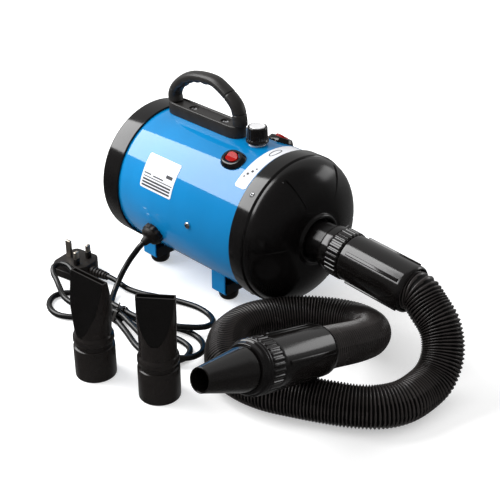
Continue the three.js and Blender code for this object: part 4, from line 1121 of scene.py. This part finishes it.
def pin_boot(node, x, y, size_x, size_y):
    """The insulating boot round the foot of a current-carrying pin."""
    size = (size_x + 0.7, size_y + 0.7, BOOT_HEIGHT)
    place = PLUG_PLACE @ shift(x, y, PLUG_THICKNESS + BOOT_HEIGHT / 2 - 0.5)
    boot = rounded_box(node.replace("plug_pin", "boot"), size, place, 0.6, 3)
    return attach(boot, BODY_OF[node], PLUG_BLACK)


TIE_X = -98
KNOT_Y = -176
# Where the lead passes through the tie, as (y, z).
TIE_PASSES = ((-179.8, 6.3), (-172, 6.3), (-164.2, 6.3), (-175.9, 13.5), (-168.1, 13.5))


def hull_line(points, grow):
    """A loop that hugs round bars at these points, seen end on."""
    loop = []
    for angle in even_angles(72):
        c, s = math.cos(angle), math.sin(angle)
        far = max(points, key=lambda p: p[0] * c + p[1] * s)
        loop.append((far[0] + grow * c, far[1] + grow * s))
    return loop


def tie():
    """A flat strap round the five passes of the lead, with a twisted end."""
    hug = LEAD_DIAMETER / MM / 2 + 0.9
    lines = zip(hull_line(TIE_PASSES, hug), hull_line(TIE_PASSES, hug + 0.9))
    rings = [[(-2, *inner), (2, *inner), (2, *outer), (-2, *outer)] for inner, outer in lines]
    place = Matrix.Translation(at(TIE_X, 0, 0))
    strap = loft("strap", rings, place, hollow=True)
    knot = rounded_box("knot", (4, 5, 3), place @ shift(0, KNOT_Y, 18.9), 0.9)
    ends = []
    for i, lean in enumerate((0.7, -0.5)):
        spot = place @ shift(0.6 - i, KNOT_Y, 19.5) @ turn(math.degrees(lean)) @ shift(0, 0, 3.4)
        ends.append(rounded_box("end", (2, 1, 8), spot, 0.35))
    return dress(merge("lead_tie", strap, knot, *ends), SATIN_BLACK, "cord_tie")


# ---- couplings and nozzles ----
KNURLS = 30


def knurl(angle, _, radius):
    """Raised bars round a grip ring."""
    if radius < COUPLING_R:
        return 0
    wave = math.cos(KNURLS * angle)
    return 0.55 * max(-1, min(1, 2.2 * wave))


def grip_ring(name, node, bore, place, shoulder):
    outline = [
        (KNURL_START, bore), (KNURL_START, 26.2), (KNURL_START + 0.7, 27.6), (KNURL_START + 2, 28.0),
        (KNURL_END - 2, 28.0), (KNURL_END - 0.7, 27.6), (KNURL_END, 26.4), (KNURL_END, bore),
    ]
    ring = lathe(name, soften(outline, 0.3), place, KNURLS * 10, ripple=knurl)
    if shoulder:
        lip = [
            (SHOULDER_START, bore), (SHOULDER_START, bore + 0.7), (SHOULDER_START + 1.4, bore + 1.6),
            (KNURL_START + 0.4, bore + 1.6), (KNURL_START + 0.4, bore),
        ]
        ring = merge(name, ring, lathe("lip", soften(lip, 0.8), place, 96))
    return dress(ring, SLEEVE_BLACK, node)


RIB_ANGLES = (50, 140, 230, 320)


def sleeve(name, node, place):
    """A smooth tube over the hose's end, with four flat ribs along it."""
    start, bore = KNURL_END + 0.3, 21
    outline = [
        (start, bore), (start, 26.2), (start + 1, 26.8), (start + 3, COUPLING_R),
        (SLEEVE_END - 5, COUPLING_R + 0.3), (SLEEVE_END - 2, COUPLING_R), (SLEEVE_END, 25.6),
        (SLEEVE_END, 24.6), (SLEEVE_END - 6, 23.8), (start + 30, 23.8), (start + 30, bore),
    ]
    tube = lathe(name, soften(outline, 0.7), place, 120)
    ribs = []
    for angle in RIB_ANGLES:
        spot = place @ turn(angle) @ shift(start + 44, 0, COUPLING_R + 0.3)
        ribs.append(rounded_box("rib", (72, 4, 3.4), spot, 0.7, 3))
    return dress(merge(name, tube, *ribs), SLEEVE_BLACK, node)


def couplings():
    grip_ring("outlet_grip_ring", "machine_ring", 25.4, MACHINE_PLACE, True)
    sleeve("outlet_sleeve", "machine_sleeve", MACHINE_PLACE)
    hand = [
        sleeve("nozzle_sleeve", "hand_sleeve", HAND_PLACE),
        grip_ring("nozzle_grip_ring", "hand_ring", 24.8, HAND_PLACE, False),
    ]
    collar = [(KNURL_START - back, radius) for back, radius in (
        (0.3, 21.3), (0.3, 27.6), (1.2, 28.2), (3, 28.2), (3.6, 27.3), (4.4, 27.3), (5, 28), (7, 27.8),
        (8, 26), (11.5, 25.4), (13, 24.4), (13, 21.3),
    )]
    piece = lathe("nozzle_collar", soften(collar, 0.5), HAND_PLACE, 120)
    return [*hand, dress(piece, GLOSS_BLACK, "hand_collar"), cone_nozzle()]


def cone_nozzle():
    plug_r, tip_r, shoulder = 21, 12.4, KNURL_START - 13.3
    tip = shoulder - 61
    outline = [
        (tip, tip_r - 1.5), (tip, tip_r - 0.3), (tip + 0.5, tip_r), (tip + 2.4, tip_r + 0.2),
        (shoulder - 8, plug_r + 0.4), (shoulder - 2, plug_r + 1.2), (shoulder, plug_r + 1),
        (shoulder, plug_r), (KNURL_START + 12, plug_r - 0.4), (KNURL_START + 12, plug_r - 2.4),
        (shoulder, plug_r - 2),
    ]
    cone = lathe("round_nozzle", soften(outline, 0.5), HAND_PLACE, 120)
    return dress(cone, SLEEVE_BLACK, "cone_nozzle")


def flat_nozzle(number, yaw, mouth_half, mouth_width, flat_start):
    """A round socket and neck, squeezed into a wide slot by two slanting flats from flat_start upwards."""
    node = f"flat_nozzle_{number}"
    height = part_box(node)[1].z / MM
    base = 22.8
    neck = base - 2.6
    wall = 1.5
    place = under(node) @ turn(yaw, "Z")

    def ring(z, half_long, round_half, limit, inset=0):
        """limit is the distance from the middle plane to the flats."""
        flat = limit - inset
        points = []
        for angle in even_angles(144):
            u = (half_long - inset) * math.cos(angle)
            v = (round_half - inset) * math.sin(angle)
            points.append((u, max(-flat, min(flat, v)), z))
        return points

    def flat_ring_at(t, inset=0):
        z = flat_start + (height - flat_start) * t
        flare = min(1, 2 * t)
        half_long = neck + (mouth_half - neck) * flare * flare * (3 - 2 * flare)
        return ring(z, half_long, neck, neck + (mouth_width - neck) * t, inset)

    no_flats = 100
    outer = [ring(z, base - inset, base - inset, no_flats) for z, inset in (
        (0, 0.8), (0.5, 0.2), (1.4, 0), (36.6, 0), (37.6, 0.3), (38.2, 1.2), (38.6, 2.2), (39.2, 2.5),
        (42.6, 2.5), (43.4, 1.8), (44.4, 0.6), (45.6, 0.2), (50, 0.4), (51.4, 1), (52.4, 2), (53.4, 2.6),
    )]
    steps = 30
    outer += [flat_ring_at(k / steps) for k in range(steps + 1)]
    inner = [flat_ring_at(1 - k / 6, wall) for k in range(7)]
    inner.append(ring(40, base - 2.5, base - 2.5, no_flats, wall))
    inner += [ring(z, base, base, no_flats, 2) for z in (37, 0.2)]
    piece = loft(f"slot_nozzle_{number}", [*outer, *inner], place, hollow=True, sharp=28)
    dress(piece, NOZZLE_BLACK, node)

    def on_flat(face):
        return face.normal.z > 0.05 and flat_start < face.center.z / MM < height - 0.5

    # The flats, which face upwards, get the darker colour as painted shade.
    repaint(piece, NOZZLE_FLAT_SHADE, on_flat)


# ---- inside the body ----
INNER_FINISH = {
    "speed_control": STEEL, "motor_can": STEEL, "heater_band": STEEL, "motor_rotor": ROTOR,
    "impeller": MATT_BLACK, "fan_shroud": MATT_BLACK, "motor_mount": MATT_BLACK, "heater_frame": MICA,
    "control_board": BOARD,
}


def inner_pieces():
    for node, material in INNER_FINISH.items():
        finish = frame["nodes"][node].data.materials
        finish.clear()
        finish.append(material)


body_shell()
rear_ring()
front_ring()
front_dome()
outlet_tube()
screws()
intake()
knob()
for side, name in ((1, "near"), (-1, "far")):
    switch_bezel(side, name)
    rocker(side, name)
films()
handle_base()
handle_grip()
feet()
lead_pieces = [gland(), *plug(), tie()]
hand_pieces = couplings()
flat_nozzle(1, yaw=5, mouth_half=25, mouth_width=3.6, flat_start=54.5)
flat_nozzle(2, yaw=40, mouth_half=21, mouth_width=4.6, flat_start=72)
inner_pieces()
